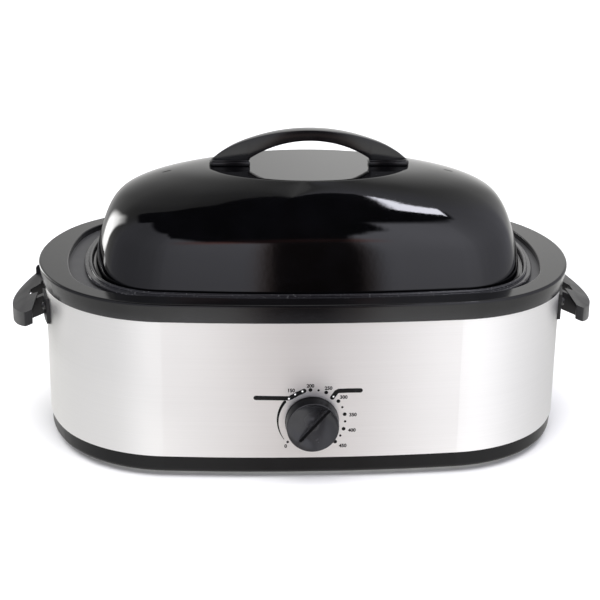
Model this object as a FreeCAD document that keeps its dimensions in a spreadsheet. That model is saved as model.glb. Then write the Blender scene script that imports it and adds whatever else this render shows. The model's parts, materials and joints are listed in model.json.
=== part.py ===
import FreeCAD
import Part
import Sketcher
import PartDesign
import os
import math

# Electric roaster oven: oval heated housing, lift-out roasting pan, wire rack and domed lid.
# Millimetres. X is the long side, -Y the control side, Z up from the table.
os.makedirs("parts", exist_ok=True)
doc = FreeCAD.newDocument("roaster")
V = FreeCAD.Vector
Rot = FreeCAD.Rotation
PI = math.pi

# ---------------------------------------------------------------- sizes
sheet = doc.addObject("Spreadsheet::Sheet", "sizes")
sheet.Label = "sizes"
VAL = {}
ROWS = [
    # three families of rounded-oval outline: half width, half depth, long bow, end bow, corner
    ("collar_half_width", 272.1), ("collar_half_depth", 165.0), ("collar_bow_radius", 1542.5),
    ("collar_side_radius", 188.6), ("collar_corner_radius", 135.25),
    ("mouth_half_width", 223.0), ("mouth_half_depth", 134.5), ("mouth_bow_radius", 1140.0),
    ("mouth_side_radius", 250.0), ("mouth_corner_radius", 78.0),
    ("opening_half_width", 241.3), ("opening_half_depth", 143.5), ("opening_bow_radius", 1140.0),
    ("opening_side_radius", 290.0), ("opening_corner_radius", 88.0),
    ("stack_shift", 4.0),
    # housing
    ("plate_underside", 4.5), ("plate_top", 5.5), ("plate_inset", 18.0),
    ("tray_top", 33.0), ("tray_inset", 6.75),
    ("wrap_bottom", 23.5), ("wrap_height", 153.5), ("wrap_inset", 6.0), ("wrap_thickness", 0.6),
    ("skirt_bottom", 163.5), ("collar_top", 182.3), ("skirt_inset", 3.2), ("skirt_inner_inset", 5.8),
    ("collar_plate", 3.0), ("collar_lip", 4.0),
    ("flange_low", 175.5), ("flange_thickness", 0.9), ("flange_inset", 7.2),
    ("well_inset", 5.5), ("well_floor_low", 38.0),
    ("band_low", 84.0), ("band_height", 50.0), ("band_thickness", 1.7),
    ("blanket_low", 82.0), ("blanket_height", 66.0), ("blanket_thickness", 9.0),
    ("shield_low", 22.0), ("shield_thickness", 0.6),
    ("post_x", 140.0), ("post_y", 78.0),
    ("foot_x", 190.0), ("foot_y", 86.0), ("foot_radius", 11.0),
    # control
    ("dial_height", 62.5), ("knob_radius", 26.0), ("knob_depth", 16.0), ("shaft_radius", 3.0),
    ("bush_radius", 4.7), ("bush_bore_radius", 3.05),
    # pan
    ("pan_floor_low", 48.0), ("sheet_metal", 0.9),
    # lid
    ("lid_rim_radius", 1.7), ("lid_rim_height", 179.45),
    ("lid_handle_depth", 15.0), ("lid_handle_top", 312.4),
    ("lid_slot_x", 143.6), ("lid_slot_length", 9.0), ("lid_slot_width", 2.6),
    # side handles
    ("grip_half_length", 66.0), ("grip_reach", 301.0), ("grip_inner", 274.0),
    ("grip_wall", 2.6), ("ear_thickness", 3.0),
    # rack
    ("rack_height", 58.0), ("rack_wire_radius", 2.2), ("rack_bar_radius", 1.6),
]
for i, (alias, value) in enumerate(ROWS):
    cell = "B%d" % (i + 1)
    sheet.set("A%d" % (i + 1), alias)
    sheet.set(cell, str(value))
    sheet.setAlias(cell, alias)
    VAL[alias] = value
doc.recompute()


def num(x):
    """A number, an alias, or a sum such as 'wrap_inset + wrap_thickness'."""
    if isinstance(x, (int, float)):
        return float(x)
    total = 0.0
    sign = 1.0
    for tok in x.replace("+", " + ").replace("-", " - ").split():
        if tok == "+":
            sign = 1.0
        elif tok == "-":
            sign = -1.0
        else:
            try:
                v = float(tok)
            except ValueError:
                v = VAL[tok]
            total += sign * v
            sign = 1.0
    return total


def ex(x):
    """The same as an expression on the sheet."""
    if isinstance(x, (int, float)):
        return repr(float(x))
    out = []
    for tok in x.replace("+", " + ").replace("-", " - ").split():
        try:
            float(tok)
            out.append(tok)
        except ValueError:
            out.append(tok if tok in "+-" else "sizes." + tok)
    return "(" + " ".join(out) + ")"


def bind(obj, prop, x):
    if isinstance(x, (int, float)):
        return
    obj.setExpression(prop, ex(x))


# ---------------------------------------------------------------- outlines
def params(fam, d):
    return tuple(VAL[fam + s] - d for s in ("_half_width", "_half_depth", "_bow_radius", "_side_radius", "_corner_radius"))


def oval_centres(a, b, rf, rs, rc):
    p = (0.0, b - rf)
    q = (a - rs, 0.0)
    r1, r2 = rf - rc, rs - rc
    dx, dy = q[0] - p[0], q[1] - p[1]
    d = math.hypot(dx, dy)
    t = (r1 * r1 - r2 * r2 + d * d) / (2 * d)
    h = math.sqrt(r1 * r1 - t * t)
    c = max(((p[0] + t * dx / d + k * h * dy / d, p[1] + t * dy / d - k * h * dx / d) for k in (-1, 1)), key=lambda s: s[0] + s[1])
    t1 = math.atan2(c[1] - p[1], c[0] - p[0])
    t2 = math.atan2(c[1] - q[1], c[0] - q[0])
    return p, q, c, t1, t2


def oval_arcs(a, b, rf, rs, rc):
    p, q, c, t1, t2 = oval_centres(a, b, rf, rs, rc)
    rows = [
        (q[0], 0.0, rs, -t2, t2), (c[0], c[1], rc, t2, t1), (0.0, p[1], rf, t1, PI - t1),
        (-c[0], c[1], rc, PI - t1, PI - t2), (-q[0], 0.0, rs, PI - t2, PI + t2),
        (-c[0], -c[1], rc, PI + t2, PI + t1), (0.0, -p[1], rf, PI + t1, 2 * PI - t1),
        (c[0], -c[1], rc, 2 * PI - t1, 2 * PI - t2),
    ]
    return [Part.ArcOfCircle(Part.Circle(V(x, y, 0), V(0, 0, 1), r), s, e) for x, y, r, s, e in rows]


def origin_plane(body, role):
    return [f for f in body.Origin.OriginFeatures if f.Role == role][0]


def new_sketch(body, name, role, offset=(0, 0, 0), exprs=()):
    s = body.newObject("Sketcher::SketchObject", name)
    s.AttachmentSupport = [(origin_plane(body, role), "")]
    s.MapMode = "FlatFace"
    s.AttachmentOffset = FreeCAD.Placement(V(*[num(v) for v in offset]), Rot())
    for axis, v in zip("xyz", offset):
        if not isinstance(v, (int, float)):
            s.setExpression("AttachmentOffset.Base." + axis, ex(v))
    return s


def add_oval(s, fam, d):
    """Eight tangent arcs, fully constrained, every radius and centre read from the sheet."""
    d_num = num(d)
    a, b, rf, rs, rc = params(fam, d_num)
    k = s.GeometryCount
    for g in oval_arcs(a, b, rf, rs, rc):
        s.addGeometry(g, False)
    for i in range(8):
        s.addConstraint(Sketcher.Constraint("Tangent", k + i, 2, k + (i + 1) % 8, 1))
    for i in (2, 6):
        s.addConstraint(Sketcher.Constraint("PointOnObject", k + i, 3, -2))
    for i in (0, 4):
        s.addConstraint(Sketcher.Constraint("PointOnObject", k + i, 3, -1))
    names = ("_side_radius", "_corner_radius", "_bow_radius", "_corner_radius") * 2
    vals = (rs, rc, rf, rc) * 2
    for i in range(8):
        c = s.addConstraint(Sketcher.Constraint("Radius", k + i, vals[i]))
        s.setExpression("Constraints[%d]" % c, "sizes.%s%s - %s" % (fam, names[i], ex(d)))
    for con, alias1, alias2, val in (
        (("DistanceX", -1, 1, k + 0, 3), "_half_width", "_side_radius", a - rs),
        (("DistanceX", k + 4, 3, -1, 1), "_half_width", "_side_radius", a - rs),
        (("DistanceY", k + 2, 3, -1, 1), "_bow_radius", "_half_depth", rf - b),
        (("DistanceY", -1, 1, k + 6, 3), "_bow_radius", "_half_depth", rf - b),
    ):
        if val < 0:
            con = (con[0], con[3], con[4], con[1], con[2])
            alias1, alias2, val = alias2, alias1, -val
        c = s.addConstraint(Sketcher.Constraint(*con, val))
        s.setExpression("Constraints[%d]" % c, "sizes.%s%s - sizes.%s%s" % (fam, alias1, fam, alias2))


def oval_sketch(body, name, z, *loops, shift=0):
    s = new_sketch(body, name, "XY_Plane", (shift, 0, z))
    for fam, d in loops:
        add_oval(s, fam, d)
    return s


def free_oval_sketch(body, name, z, p, shift=0):
    s = new_sketch(body, name, "XY_Plane", (shift, 0, z))
    for g in oval_arcs(*p):
        s.addGeometry(g, False)
    for i in range(8):
        s.addConstraint(Sketcher.Constraint("Coincident", i, 2, (i + 1) % 8, 1))
    return s


def rounded(points, closed=True):
    """Lines and arcs through (x, y, fillet radius) corners."""
    n = len(points)
    geo = []
    cut = []
    for i in range(n):
        x, y = points[i][:2]
        r = points[i][2] if len(points[i]) > 2 else 0
        if r <= 0 or (not closed and i in (0, n - 1)):
            cut.append((V(x, y, 0), V(x, y, 0), None))
            continue
        a = V(points[i - 1][0], points[i - 1][1], 0) - V(x, y, 0)
        b = V(points[(i + 1) % n][0], points[(i + 1) % n][1], 0) - V(x, y, 0)
        a.normalize()
        b.normalize()
        ang = a.getAngle(b)
        t = r / math.tan(ang / 2)
        p1 = V(x, y, 0) + a * t
        p2 = V(x, y, 0) + b * t
        bis = a + b
        bis.normalize()
        centre = V(x, y, 0) + bis * (r / math.sin(ang / 2))
        mid = centre - bis * r
        cut.append((p1, p2, mid))
    for i in range(n):
        p1, p2, mid = cut[i]
        if mid is not None:
            geo.append(Part.Arc(p1, mid, p2))
        if i == n - 1 and not closed:
            break
        q1 = cut[(i + 1) % n][0]
        if (q1 - p2).Length > 1e-6:
            geo.append(Part.LineSegment(p2, q1))
    return geo


def add_path(s, points):
    k = s.GeometryCount
    geo = rounded(points)
    for g in geo:
        s.addGeometry(g, False)
    n = len(geo)
    for i in range(n):
        j = (i + 1) % n
        p_end = s.getPoint(k + i, 2)
        for pos in (1, 2):
            if (s.getPoint(k + j, pos) - p_end).Length < 1e-5:
                s.addConstraint(Sketcher.Constraint("Coincident", k + i, 2, k + j, pos))
                break
        else:
            p_end = s.getPoint(k + i, 1)
            for pos in (1, 2):
                if (s.getPoint(k + j, pos) - p_end).Length < 1e-5:
                    s.addConstraint(Sketcher.Constraint("Coincident", k + i, 1, k + j, pos))
                    break


def path_sketch(body, name, role, points, offset=(0, 0, 0)):
    s = new_sketch(body, name, role, offset)
    add_path(s, points)
    return s


def circle_sketch(body, name, role, circles, offset=(0, 0, 0)):
    """Circles as (x, y, r); each of the three may be an alias."""
    s = new_sketch(body, name, role, offset)
    for x, y, r in circles:
        k = s.addGeometry(Part.Circle(V(num(x), num(y), 0), V(0, 0, 1), num(r)), False)
        c = s.addConstraint(Sketcher.Constraint("Radius", k, num(r)))
        if not isinstance(r, (int, float)):
            s.setExpression("Constraints[%d]" % c, ex(r))
        for kind, v in (("DistanceX", x), ("DistanceY", y)):
            if abs(num(v)) < 1e-9:
                s.addConstraint(Sketcher.Constraint("PointOnObject", k, 3, -2 if kind == "DistanceX" else -1))
                continue
            c = s.addConstraint(Sketcher.Constraint(kind, -1, 1, k, 3, num(v)))
            if not isinstance(v, (int, float)):
                s.setExpression("Constraints[%d]" % c, ex(v))
    return s


def new_body(name):
    b = doc.addObject("PartDesign::Body", name)
    b.Label = name
    return b


def pad(body, sk, length, name, reverse=False, mid=False):
    p = body.newObject("PartDesign::Pad", name)
    p.Profile = sk
    p.Length = num(length)
    bind(p, "Length", length)
    p.Reversed = reverse
    p.Midplane = mid
    doc.recompute()
    return p


def pocket(body, sk, length, name, reverse=False, mid=False):
    before = body.Shape.Volume
    p = body.newObject("PartDesign::Pocket", name)
    p.Profile = sk
    p.Length = num(length)
    bind(p, "Length", length)
    p.Reversed = reverse
    p.Midplane = mid
    doc.recompute()
    if p.Shape.isNull() or not p.isValid() or abs(p.Shape.Volume - before) < 1e-3:
        raise RuntimeError("pocket %s of %s cuts nothing: %s" % (name, body.Name, p.State))
    return p


def pipe(body, prof, spine, name, cut=False):
    p = body.newObject("PartDesign::SubtractivePipe" if cut else "PartDesign::AdditivePipe", name)
    p.Profile = prof
    p.Spine = (spine, [])
    doc.recompute()
    return p


def loft(body, sks, name, ruled=False, cut=False):
    p = body.newObject("PartDesign::SubtractiveLoft" if cut else "PartDesign::AdditiveLoft", name)
    p.Profile = sks[0]
    p.Sections = sks[1:]
    p.Ruled = ruled
    doc.recompute()
    return p


def round_edges(body, base, test, radius, name, chamfer=False):
    edges = ["Edge%d" % (i + 1) for i, e in enumerate(base.Shape.Edges) if test(e)]
    if not edges:
        raise RuntimeError("no edges for %s" % name)
    p = body.newObject("PartDesign::Chamfer" if chamfer else "PartDesign::Fillet", name)
    p.Base = (base, edges)
    if chamfer:
        p.Size = radius
    else:
        p.Radius = radius
    doc.recompute()
    if not p.isValid() or p.Shape.isNull() or not p.Shape.isValid():
        raise RuntimeError("fillet %s failed" % name)
    return p


NODES = []


def node(obj, name):
    obj.Label = name
    NODES.append((obj, name))
    return obj


def cyl(name, r, h, pos, d=(0, 0, 1), r2=None):
    if r2 is None:
        o = doc.addObject("Part::Cylinder", name)
        o.Radius = num(r)
        bind(o, "Radius", r)
    else:
        o = doc.addObject("Part::Cone", name)
        o.Radius1 = num(r)
        o.Radius2 = num(r2)
        bind(o, "Radius1", r)
        bind(o, "Radius2", r2)
    o.Height = num(h)
    bind(o, "Height", h)
    o.Placement = FreeCAD.Placement(V(*[num(p) for p in pos]), Rot(V(0, 0, 1), V(*d)))
    for axis, p in zip("xyz", pos):
        if not isinstance(p, (int, float)) and not p.strip().startswith("-"):
            o.setExpression("Placement.Base." + axis, ex(p))
    return o


def box(name, size, pos, rot=None):
    o = doc.addObject("Part::Box", name)
    o.Length, o.Width, o.Height = [num(v) for v in size]
    for p, v in zip(("Length", "Width", "Height"), size):
        bind(o, p, v)
    o.Placement = FreeCAD.Placement(V(*[num(p) for p in pos]), rot or Rot())
    return o


def fuse(name, objs):
    o = doc.addObject("Part::MultiFuse", name)
    o.Shapes = objs
    return o


def cut(name, a, b):
    o = doc.addObject("Part::Cut", name)
    o.Base = a
    o.Tool = b
    return o


def common(name, a, b):
    o = doc.addObject("Part::Common", name)
    o.Base = a
    o.Tool = b
    return o


def group(name, objs):
    o = doc.addObject("Part::Compound", name)
    o.Links = objs
    return o


def screw(name, pos, d, head_r, head_h, shank_r, shank_l):
    """Pan-head screw: the head's underside is at pos, the shank runs along d."""
    n = V(*d)
    n.normalize()
    p = V(*pos)
    h1 = cyl(name + "_h", head_r, head_h * 0.55, tuple(p - n * (head_h * 0.55)), tuple(n))
    h2 = cyl(name + "_t", head_r * 0.72, head_h * 0.45, tuple(p - n * head_h), tuple(n), r2=head_r)
    sh = cyl(name + "_s", shank_r, shank_l, tuple(p), tuple(n))
    f = fuse(name + "_f", [h1, h2, sh])
    bx = box(name + "_b", (head_r * 2.4, 1.0, head_h * 0.5), (0, 0, 0))
    r = Rot(V(0, 0, 1), n)
    bx.Placement = FreeCAD.Placement(p - n * (head_h + 0.01), r).multiply(FreeCAD.Placement(V(-head_r * 1.2, -0.5, 0), Rot()))
    return cut(name, f, bx)


# ---------------------------------------------------------------- bottom of the housing
# base tray: pressed black ring with an inward floor flange
b = new_body("base_tray")
sp = oval_sketch(b, "tray_spine", 0, ("collar", "tray_inset"))
pr = path_sketch(b, "tray_section", "XZ_Plane", [
    (0, 33), (0, 23.6, 0.5), (-0.65, 23.0, 0.5), (-0.85, 5.5, 5.0), (-34, 5.5), (-34, 7.5), (-2.85, 7.5, 3.0), (-2.65, 22.6, 1.0), (-2.0, 23.6, 1.0), (-2.0, 33)],
    offset=("collar_half_width - tray_inset", 0, 0))
pipe(b, pr, sp, "tray_ring")
node(b, "base_tray")

# bottom plate with vent slots, screw and foot holes
b = new_body("bottom_plate")
sk = oval_sketch(b, "plate_outline", "plate_underside", ("collar", "plate_inset"))
pad(b, sk, "plate_top - plate_underside", "plate_pad")
sk = circle_sketch(b, "plate_holes", "XY_Plane", [("post_x", "post_y", 2.3), (-140, 78, 2.3), (-140, -78, 2.3), (140, -78, 2.3),
                   ("foot_x", "foot_y", 4.1), (-190, 86, 4.1), (-190, -86, 4.1), (190, -86, 4.1), (0, 118, 2.1)], offset=(0, 0, "plate_top"))
pocket(b, sk, 3, "plate_holes_cut")
sk = path_sketch(b, "vent_slot", "XY_Plane", [(-98, -32, 2), (-60, -32, 2), (-60, -27.4, 2), (-98, -27.4, 2)], offset=(0, 0, "plate_top"))
slot = pocket(b, sk, 3, "vent_cut")
mp = b.newObject("PartDesign::MultiTransform", "vent_rows")
mp.Originals = [slot]
l1 = doc.addObject("PartDesign::LinearPattern", "vent_x")
l2 = doc.addObject("PartDesign::LinearPattern", "vent_y")
b.addObject(l1)
b.addObject(l2)
l1.Direction = (origin_plane(b, "X_Axis"), [""])
l1.Length = 158
l1.Occurrences = 4
l2.Direction = (origin_plane(b, "Y_Axis"), [""])
l2.Length = 60
l2.Occurrences = 6
mp.Transformations = [l1, l2]
b.Tip = mp
doc.recompute()
if not mp.isValid() or mp.Shape.isNull():
    raise RuntimeError("vent pattern")
node(b, "bottom_plate")

# feet: four rubber feet with pegs through the bottom plate
feet = []
for i, (sx, sy) in enumerate(((1, 1), (-1, 1), (-1, -1), (1, -1))):
    x, y = sx * VAL["foot_x"], sy * VAL["foot_y"]
    f1 = cyl("foot_pad%d" % i, 9.6, "plate_underside", (x, y, 0), r2="foot_radius")
    f2 = cyl("foot_peg%d" % i, 4.0, 1.6, (x, y, "plate_underside"))
    f3 = cyl("foot_barb%d" % i, 5.6, 3.4, (x, y, 5.6), r2=3.2)
    feet.append(fuse("foot%d" % i, [f1, f2, f3]))
node(group("feet", feet), "feet")

# stainless wrap: a front and a rear strip that butt at the ends, under the side handles
b = new_body("wrap_strip")
sk = oval_sketch(b, "wrap_ring", "wrap_bottom", ("collar", "wrap_inset"), ("collar", "wrap_inset + wrap_thickness"))
pad(b, sk, "wrap_height", "wrap_pad")
sk = circle_sketch(b, "shaft_hole", "XZ_Plane", [(0, "dial_height", 4.9), (20.5, "dial_height", 1.8), (-20.5, "dial_height", 1.8)], offset=(0, 0, 140))
pocket(b, sk, 40, "shaft_hole_cut", reverse=True)
sk = circle_sketch(b, "gland_hole", "XZ_Plane", [(62, 46, 7.1)], offset=(0, 0, -140))
pocket(b, sk, 40, "gland_hole_cut")
# side-handle screw holes along the wall normal at each end
EAR_ANGLE = 13.6
p_, q_, c_, t1_, t2_ = oval_centres(*params("collar", 0))
END_C = q_[0]
hole_pts = []
for sx in (1, -1):
    for sy in (1, -1):
        a_ = math.radians(EAR_ANGLE)
        nx, ny = sx * math.cos(a_), sy * math.sin(a_)
        hole_pts.append((sx * END_C, nx, ny))
HANDLE_SCREW_Z = 141.0
drills = [cyl("wrap_drill%d" % i, 2.25, 20, (cx + nx * 170, ny * 170, HANDLE_SCREW_Z), (nx, ny, 0)) for i, (cx, nx, ny) in enumerate(hole_pts)]
wrap = cut("wrap_drilled", b, group("wrap_drills", drills))
wrap.Label = "wrap_blank"
b.Label = "wrap_sheet"
front_zone = box("front_zone", (640, 200, 200), (-320, -200, 0))
rear_zone = box("rear_zone", (640, 200, 200), (-320, 0, 0))
node(common("front_strip", wrap, front_zone), "front_wrap")
node(common("rear_strip", wrap, rear_zone), "rear_wrap")

# collar: black ring with tapered skirt and the pan opening
b = new_body("collar")
s1 = oval_sketch(b, "collar_top_outline", "collar_top", ("collar", 0))
s2 = oval_sketch(b, "collar_low_outline", "skirt_bottom", ("collar", "skirt_inset"))
lf = loft(b, [s1, s2], "collar_block", ruled=True)
f = round_edges(b, lf, lambda e: abs(e.CenterOfMass.z - VAL["collar_top"]) < 0.01, 2.4, "collar_round")
sk = oval_sketch(b, "collar_opening", "collar_top", ("opening", 0))
pk = pocket(b, sk, 40, "collar_opening_cut")
sk = oval_sketch(b, "collar_underside", "skirt_bottom", ("collar", "skirt_inner_inset"))
pocket(b, sk, "flange_low + flange_thickness - skirt_bottom", "collar_underside_cut", reverse=True)
sk = new_sketch(b, "collar_channel", "XY_Plane", (0, 0, "flange_low + flange_thickness"))
add_oval(sk, "collar", "skirt_inner_inset")
add_oval(sk, "opening", "0 - collar_lip")
pk = pocket(b, sk, "collar_top - collar_plate - flange_low - flange_thickness", "collar_channel_cut", reverse=True)
open_b = VAL["opening_half_depth"]


def on_opening(e):
    bb = e.BoundBox
    return abs(bb.ZMin - VAL["collar_top"]) < 0.01 and abs(bb.ZMax - VAL["collar_top"]) < 0.01 and bb.XMax < VAL["opening_half_width"] + 1 and bb.XMin > -VAL["opening_half_width"] - 1 and bb.YMax < open_b + 1 and bb.YMin > -open_b - 1


round_edges(b, pk, on_opening, 1.2, "collar_opening_round")
COLLAR_SCREWS = [(0, 153.4), (0, -153.4), (150, 144.7), (150, -144.7), (-150, 144.7), (-150, -144.7), (255.8, 0), (-255.8, 0)]
sk = circle_sketch(b, "collar_bosses", "XY_Plane", [(x, y, 3.6) for x, y in COLLAR_SCREWS], offset=(0, 0, "collar_top - collar_plate"))
pad(b, sk, 2.85, "collar_boss_pad", reverse=True)
sk = circle_sketch(b, "collar_boss_holes", "XY_Plane", [(x, y, 1.5) for x, y in COLLAR_SCREWS], offset=(0, 0, "flange_low + flange_thickness"))
pocket(b, sk, 4.8, "collar_boss_holes_cut", reverse=True)
node(b, "collar")
node(group("collar_screws", [screw("collar_screw%d" % i, (x, y, VAL["flange_low"] - 0.02), (0, 0, 1), 3.4, 2.2, 1.45, 5.2) for i, (x, y) in enumerate(COLLAR_SCREWS)]), "collar_screws")

# ---------------------------------------------------------------- heating well and what is round it
b = new_body("heating_well")
sp = oval_sketch(b, "well_spine", 0, ("mouth", "well_inset"), shift=0)
pr = path_sketch(b, "well_section", "XZ_Plane", [
    (9.5, 175.5), (0, 175.5, 3.0), (0, 38.0, 18.0), (-42, 38.0), (-42, 38.9), (-0.9, 38.9, 17.1), (-0.9, 176.4, 3.9), (9.5, 176.4)],
    offset=("mouth_half_width - well_inset", 0, 0))
pipe(b, pr, sp, "well_wall")
sk = new_sketch(b, "well_flange", "XY_Plane", (0, 0, "flange_low"))
add_oval(sk, "collar", "flange_inset")
add_oval(sk, "mouth", -3.5)
pad(b, sk, "flange_thickness", "well_flange_pad")
sk = oval_sketch(b, "well_floor", "well_floor_low", ("mouth", 46.5))
pad(b, sk, 0.9, "well_floor_pad")
sk = circle_sketch(b, "well_flange_holes", "XY_Plane", [(x, y, 1.8) for x, y in COLLAR_SCREWS], offset=(0, 0, "flange_low"))
pocket(b, sk, 3, "well_flange_holes_cut", reverse=True)
node(b, "heating_well")

# heater band round the well, open at the back for its terminals
b = new_body("heater_band")
sk = oval_sketch(b, "band_ring", "band_low", ("mouth", "well_inset - 0.1 - band_thickness"), ("mouth", "well_inset - 0.1"))
pad(b, sk, "band_height", "band_pad")
sk = path_sketch(b, "band_gap", "XY_Plane", [(-14, 100), (14, 100), (14, 160), (-14, 160)], offset=(0, 0, "band_low"))
pocket(b, sk, "band_height", "band_gap_cut", reverse=True)
for i, x in enumerate((-24, 24)):
    sk = path_sketch(b, "band_tab%d" % i, "XY_Plane", [(x - 4, 129.5), (x + 4, 129.5), (x + 4, 137.8), (x - 4, 137.8)], offset=(0, 0, 100))
    pad(b, sk, 1.0, "band_tab_pad%d" % i)
node(b, "heater_band")

# glass-fibre blanket over the band, cut away at the terminals
b = new_body("insulation_blanket")
sk = oval_sketch(b, "blanket_ring", "blanket_low", ("mouth", "well_inset - 2.3 - blanket_thickness"), ("mouth", "well_inset - 2.3"))
pad(b, sk, "blanket_height", "blanket_pad")
sk = path_sketch(b, "blanket_gap", "XY_Plane", [(-32, 100), (32, 100), (32, 170), (-32, 170)], offset=(0, 0, "blanket_low"))
pocket(b, sk, "blanket_height", "blanket_gap_cut", reverse=True)
node(b, "insulation_blanket")

# heat shield under the well
b = new_body("heat_shield")
sk = oval_sketch(b, "shield_outline", "shield_low", ("mouth", 25))
pad(b, sk, "shield_thickness", "shield_pad")
sk = circle_sketch(b, "shield_holes", "XY_Plane", [("post_x", "post_y", 4.7), (-140, 78, 4.7), (-140, -78, 4.7), (140, -78, 4.7), (112, 40, 3.0)], offset=(0, 0, "shield_low"))
pocket(b, sk, 3, "shield_holes_cut", reverse=True)
node(b, "heat_shield")

# stepped posts that tie the well to the bottom plate, and their screws
posts = []
screws = []
for i, (sx, sy) in enumerate(((1, 1), (-1, 1), (-1, -1), (1, -1))):
    x, y = sx * VAL["post_x"], sy * VAL["post_y"]
    p1 = cyl("post_low%d" % i, 6.0, "shield_low - plate_top", (x, y, "plate_top"))
    p2 = cyl("post_high%d" % i, 4.5, "well_floor_low - shield_low", (x, y, "shield_low"))
    bore = cyl("post_bore%d" % i, 2.05, 15, (x, y, 5.0))
    posts.append(cut("post%d" % i, fuse("post_f%d" % i, [p1, p2]), bore))
    screws.append(screw("base_screw%d" % i, (x, y, VAL["plate_underside"]), (0, 0, 1), 4.0, 2.6, 2.0, 14.5))
node(group("well_posts", posts), "well_posts")
node(group("base_screws", screws), "base_screws")

# ---------------------------------------------------------------- thermostat
FRONT = -(VAL["collar_half_depth"] - VAL["wrap_inset"])          # outside of the wrap at the front
IN = FRONT + VAL["wrap_thickness"]                               # inside of it
b = new_body("thermostat_bracket")
sk = path_sketch(b, "bracket_face", "XZ_Plane", [(-30, 44, 3), (30, 44, 3), (30, 80, 3), (-30, 80, 3)], offset=(0, 0, -(IN + 0.5)))
pad(b, sk, 1.2, "bracket_pad", reverse=True)
sk = circle_sketch(b, "bracket_holes", "XZ_Plane", [(0, "dial_height", "bush_radius + 0.1"), (20.5, "dial_height", 1.8), (-20.5, "dial_height", 1.8)], offset=(0, 0, -(IN + 0.5)))
pocket(b, sk, 2, "bracket_holes_cut")
node(b, "thermostat_bracket")
BR = IN + 1.7                                                    # rear face of the bracket

b = new_body("thermostat")
sk = path_sketch(b, "thermo_box", "XZ_Plane", [(-17, 45.5, 2), (17, 45.5, 2), (17, 79.5, 2), (-17, 79.5, 2)], offset=(0, 0, -BR))
pad(b, sk, 17, "thermo_pad", reverse=True)
sk = circle_sketch(b, "thermo_bush", "XZ_Plane", [(0, "dial_height", "bush_radius")], offset=(0, 0, -BR))
pad(b, sk, 6.3, "thermo_bush_pad")
sk = circle_sketch(b, "thermo_bore", "XZ_Plane", [(0, "dial_height", "bush_bore_radius")], offset=(0, 0, -(BR - 6.3)))
pocket(b, sk, 14.5, "thermo_bore_cut")
for i, x in enumerate((-8, 8)):
    sk = path_sketch(b, "thermo_blade%d" % i, "XY_Plane", [(x - 3, BR + 8), (x + 3, BR + 8), (x + 3, BR + 8.8), (x - 3, BR + 8.8)], offset=(0, 0, 45.6))
    pad(b, sk, 8, "thermo_blade_pad%d" % i, reverse=True)
node(b, "thermostat")

b = new_body("thermostat_nut")
hexpts = [(8.0 * math.cos(math.radians(60 * i)), num("dial_height") + 8.0 * math.sin(math.radians(60 * i))) for i in range(6)]
sk = path_sketch(b, "nut_hex", "XZ_Plane", hexpts, offset=(0, 0, -(FRONT - 0.05)))
pad(b, sk, 2.4, "nut_pad")
sk = circle_sketch(b, "nut_bore", "XZ_Plane", [(0, "dial_height", "bush_radius + 0.05")], offset=(0, 0, -(FRONT - 0.05)))
pocket(b, sk, 4, "nut_bore_cut", reverse=True)
node(b, "thermostat_nut")

# two countersunk-style screws hold the bracket to the wrap, hidden under the knob
node(group("bracket_screws", [screw("bracket_screw%d" % i, (x, FRONT - 0.02 + 0.08, VAL["dial_height"]), (0, 1, 0), 3.0, 0.9, 1.5, 6.0) for i, x in enumerate((-20.5, 20.5))]), "bracket_screws")


# ---------------------------------------------------------------- tubes and wires
def tube(name, pts, r, bend):
    """A round tube of straight runs joined by tangent arcs."""
    P = [V(*p) for p in pts]
    edges = []
    last = P[0]
    for i in range(1, len(P) - 1):
        a = P[i - 1] - P[i]
        c = P[i + 1] - P[i]
        a.normalize()
        c.normalize()
        ang = a.getAngle(c)
        t = bend / math.tan(ang / 2)
        p1, p2 = P[i] + a * t, P[i] + c * t
        bis = a + c
        bis.normalize()
        mid = P[i] + bis * (bend / math.sin(ang / 2) - bend)
        if (p1 - last).Length > 1e-6:
            edges.append(Part.LineSegment(last, p1).toShape())
        edges.append(Part.Arc(p1, mid, p2).toShape())
        last = p2
    edges.append(Part.LineSegment(last, P[-1]).toShape())
    wire = Part.Wire(edges)
    start = P[1] - P[0]
    start.normalize()
    ring = Part.Wire([Part.Circle(P[0], start, r).toShape()])
    s = wire.makePipeShell([ring], True, False)
    want = math.pi * r * r * wire.Length
    if not s.isValid() or abs(abs(s.Volume) - want) > 0.02 * want:
        raise RuntimeError("tube %s volume %.1f, wanted %.1f" % (name, s.Volume, want))
    o = doc.addObject("Part::Feature", name)
    o.Shape = s if s.Volume > 0 else s.reversed()
    return o


# capillary from the thermostat to its bulb under the well
cap = tube("capillary", [(12, BR + 12, 45.4), (12, BR + 12, 33.0), (12, -70, 33.0), (-26.0, -70, 33.0)], 1.0, 6.0)
bulb = cyl("bulb", 3.6, 62, (-25, -70, 33.0), (-1, 0, 0))
node(fuse("sensor_bulb", [cap, bulb]), "sensor_bulb")
clips = []
for i, x in enumerate((-40.0, -74.0)):
    o = box("clip_block%d" % i, (6, 14, 8.8), (x - 3, -77, 29.1))
    h = cyl("clip_hole%d" % i, 3.7, 10, (x + 5, -70, 33.0), (-1, 0, 0))
    clips.append(cut("clip%d" % i, o, h))
node(group("bulb_clips", clips), "bulb_clips")

# thermal cut-out on the underside of the well
cdisc = cyl("cutout_disc", 8.0, 6.0, (60, 30, 31.9))
crim = cyl("cutout_rim", 10.0, 1.0, (60, 30, 36.9))
ct1 = box("cutout_tab1", (5, 0.8, 6), (48.5, 29.6, 27.0))
ct2 = box("cutout_tab2", (5, 0.8, 6), (66.5, 29.6, 27.0))
ct3 = box("cutout_bar", (22, 4, 2.0), (49, 28, 31.0))
node(fuse("thermal_cutout", [cdisc, crim, ct1, ct2, ct3]), "thermal_cutout")

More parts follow.
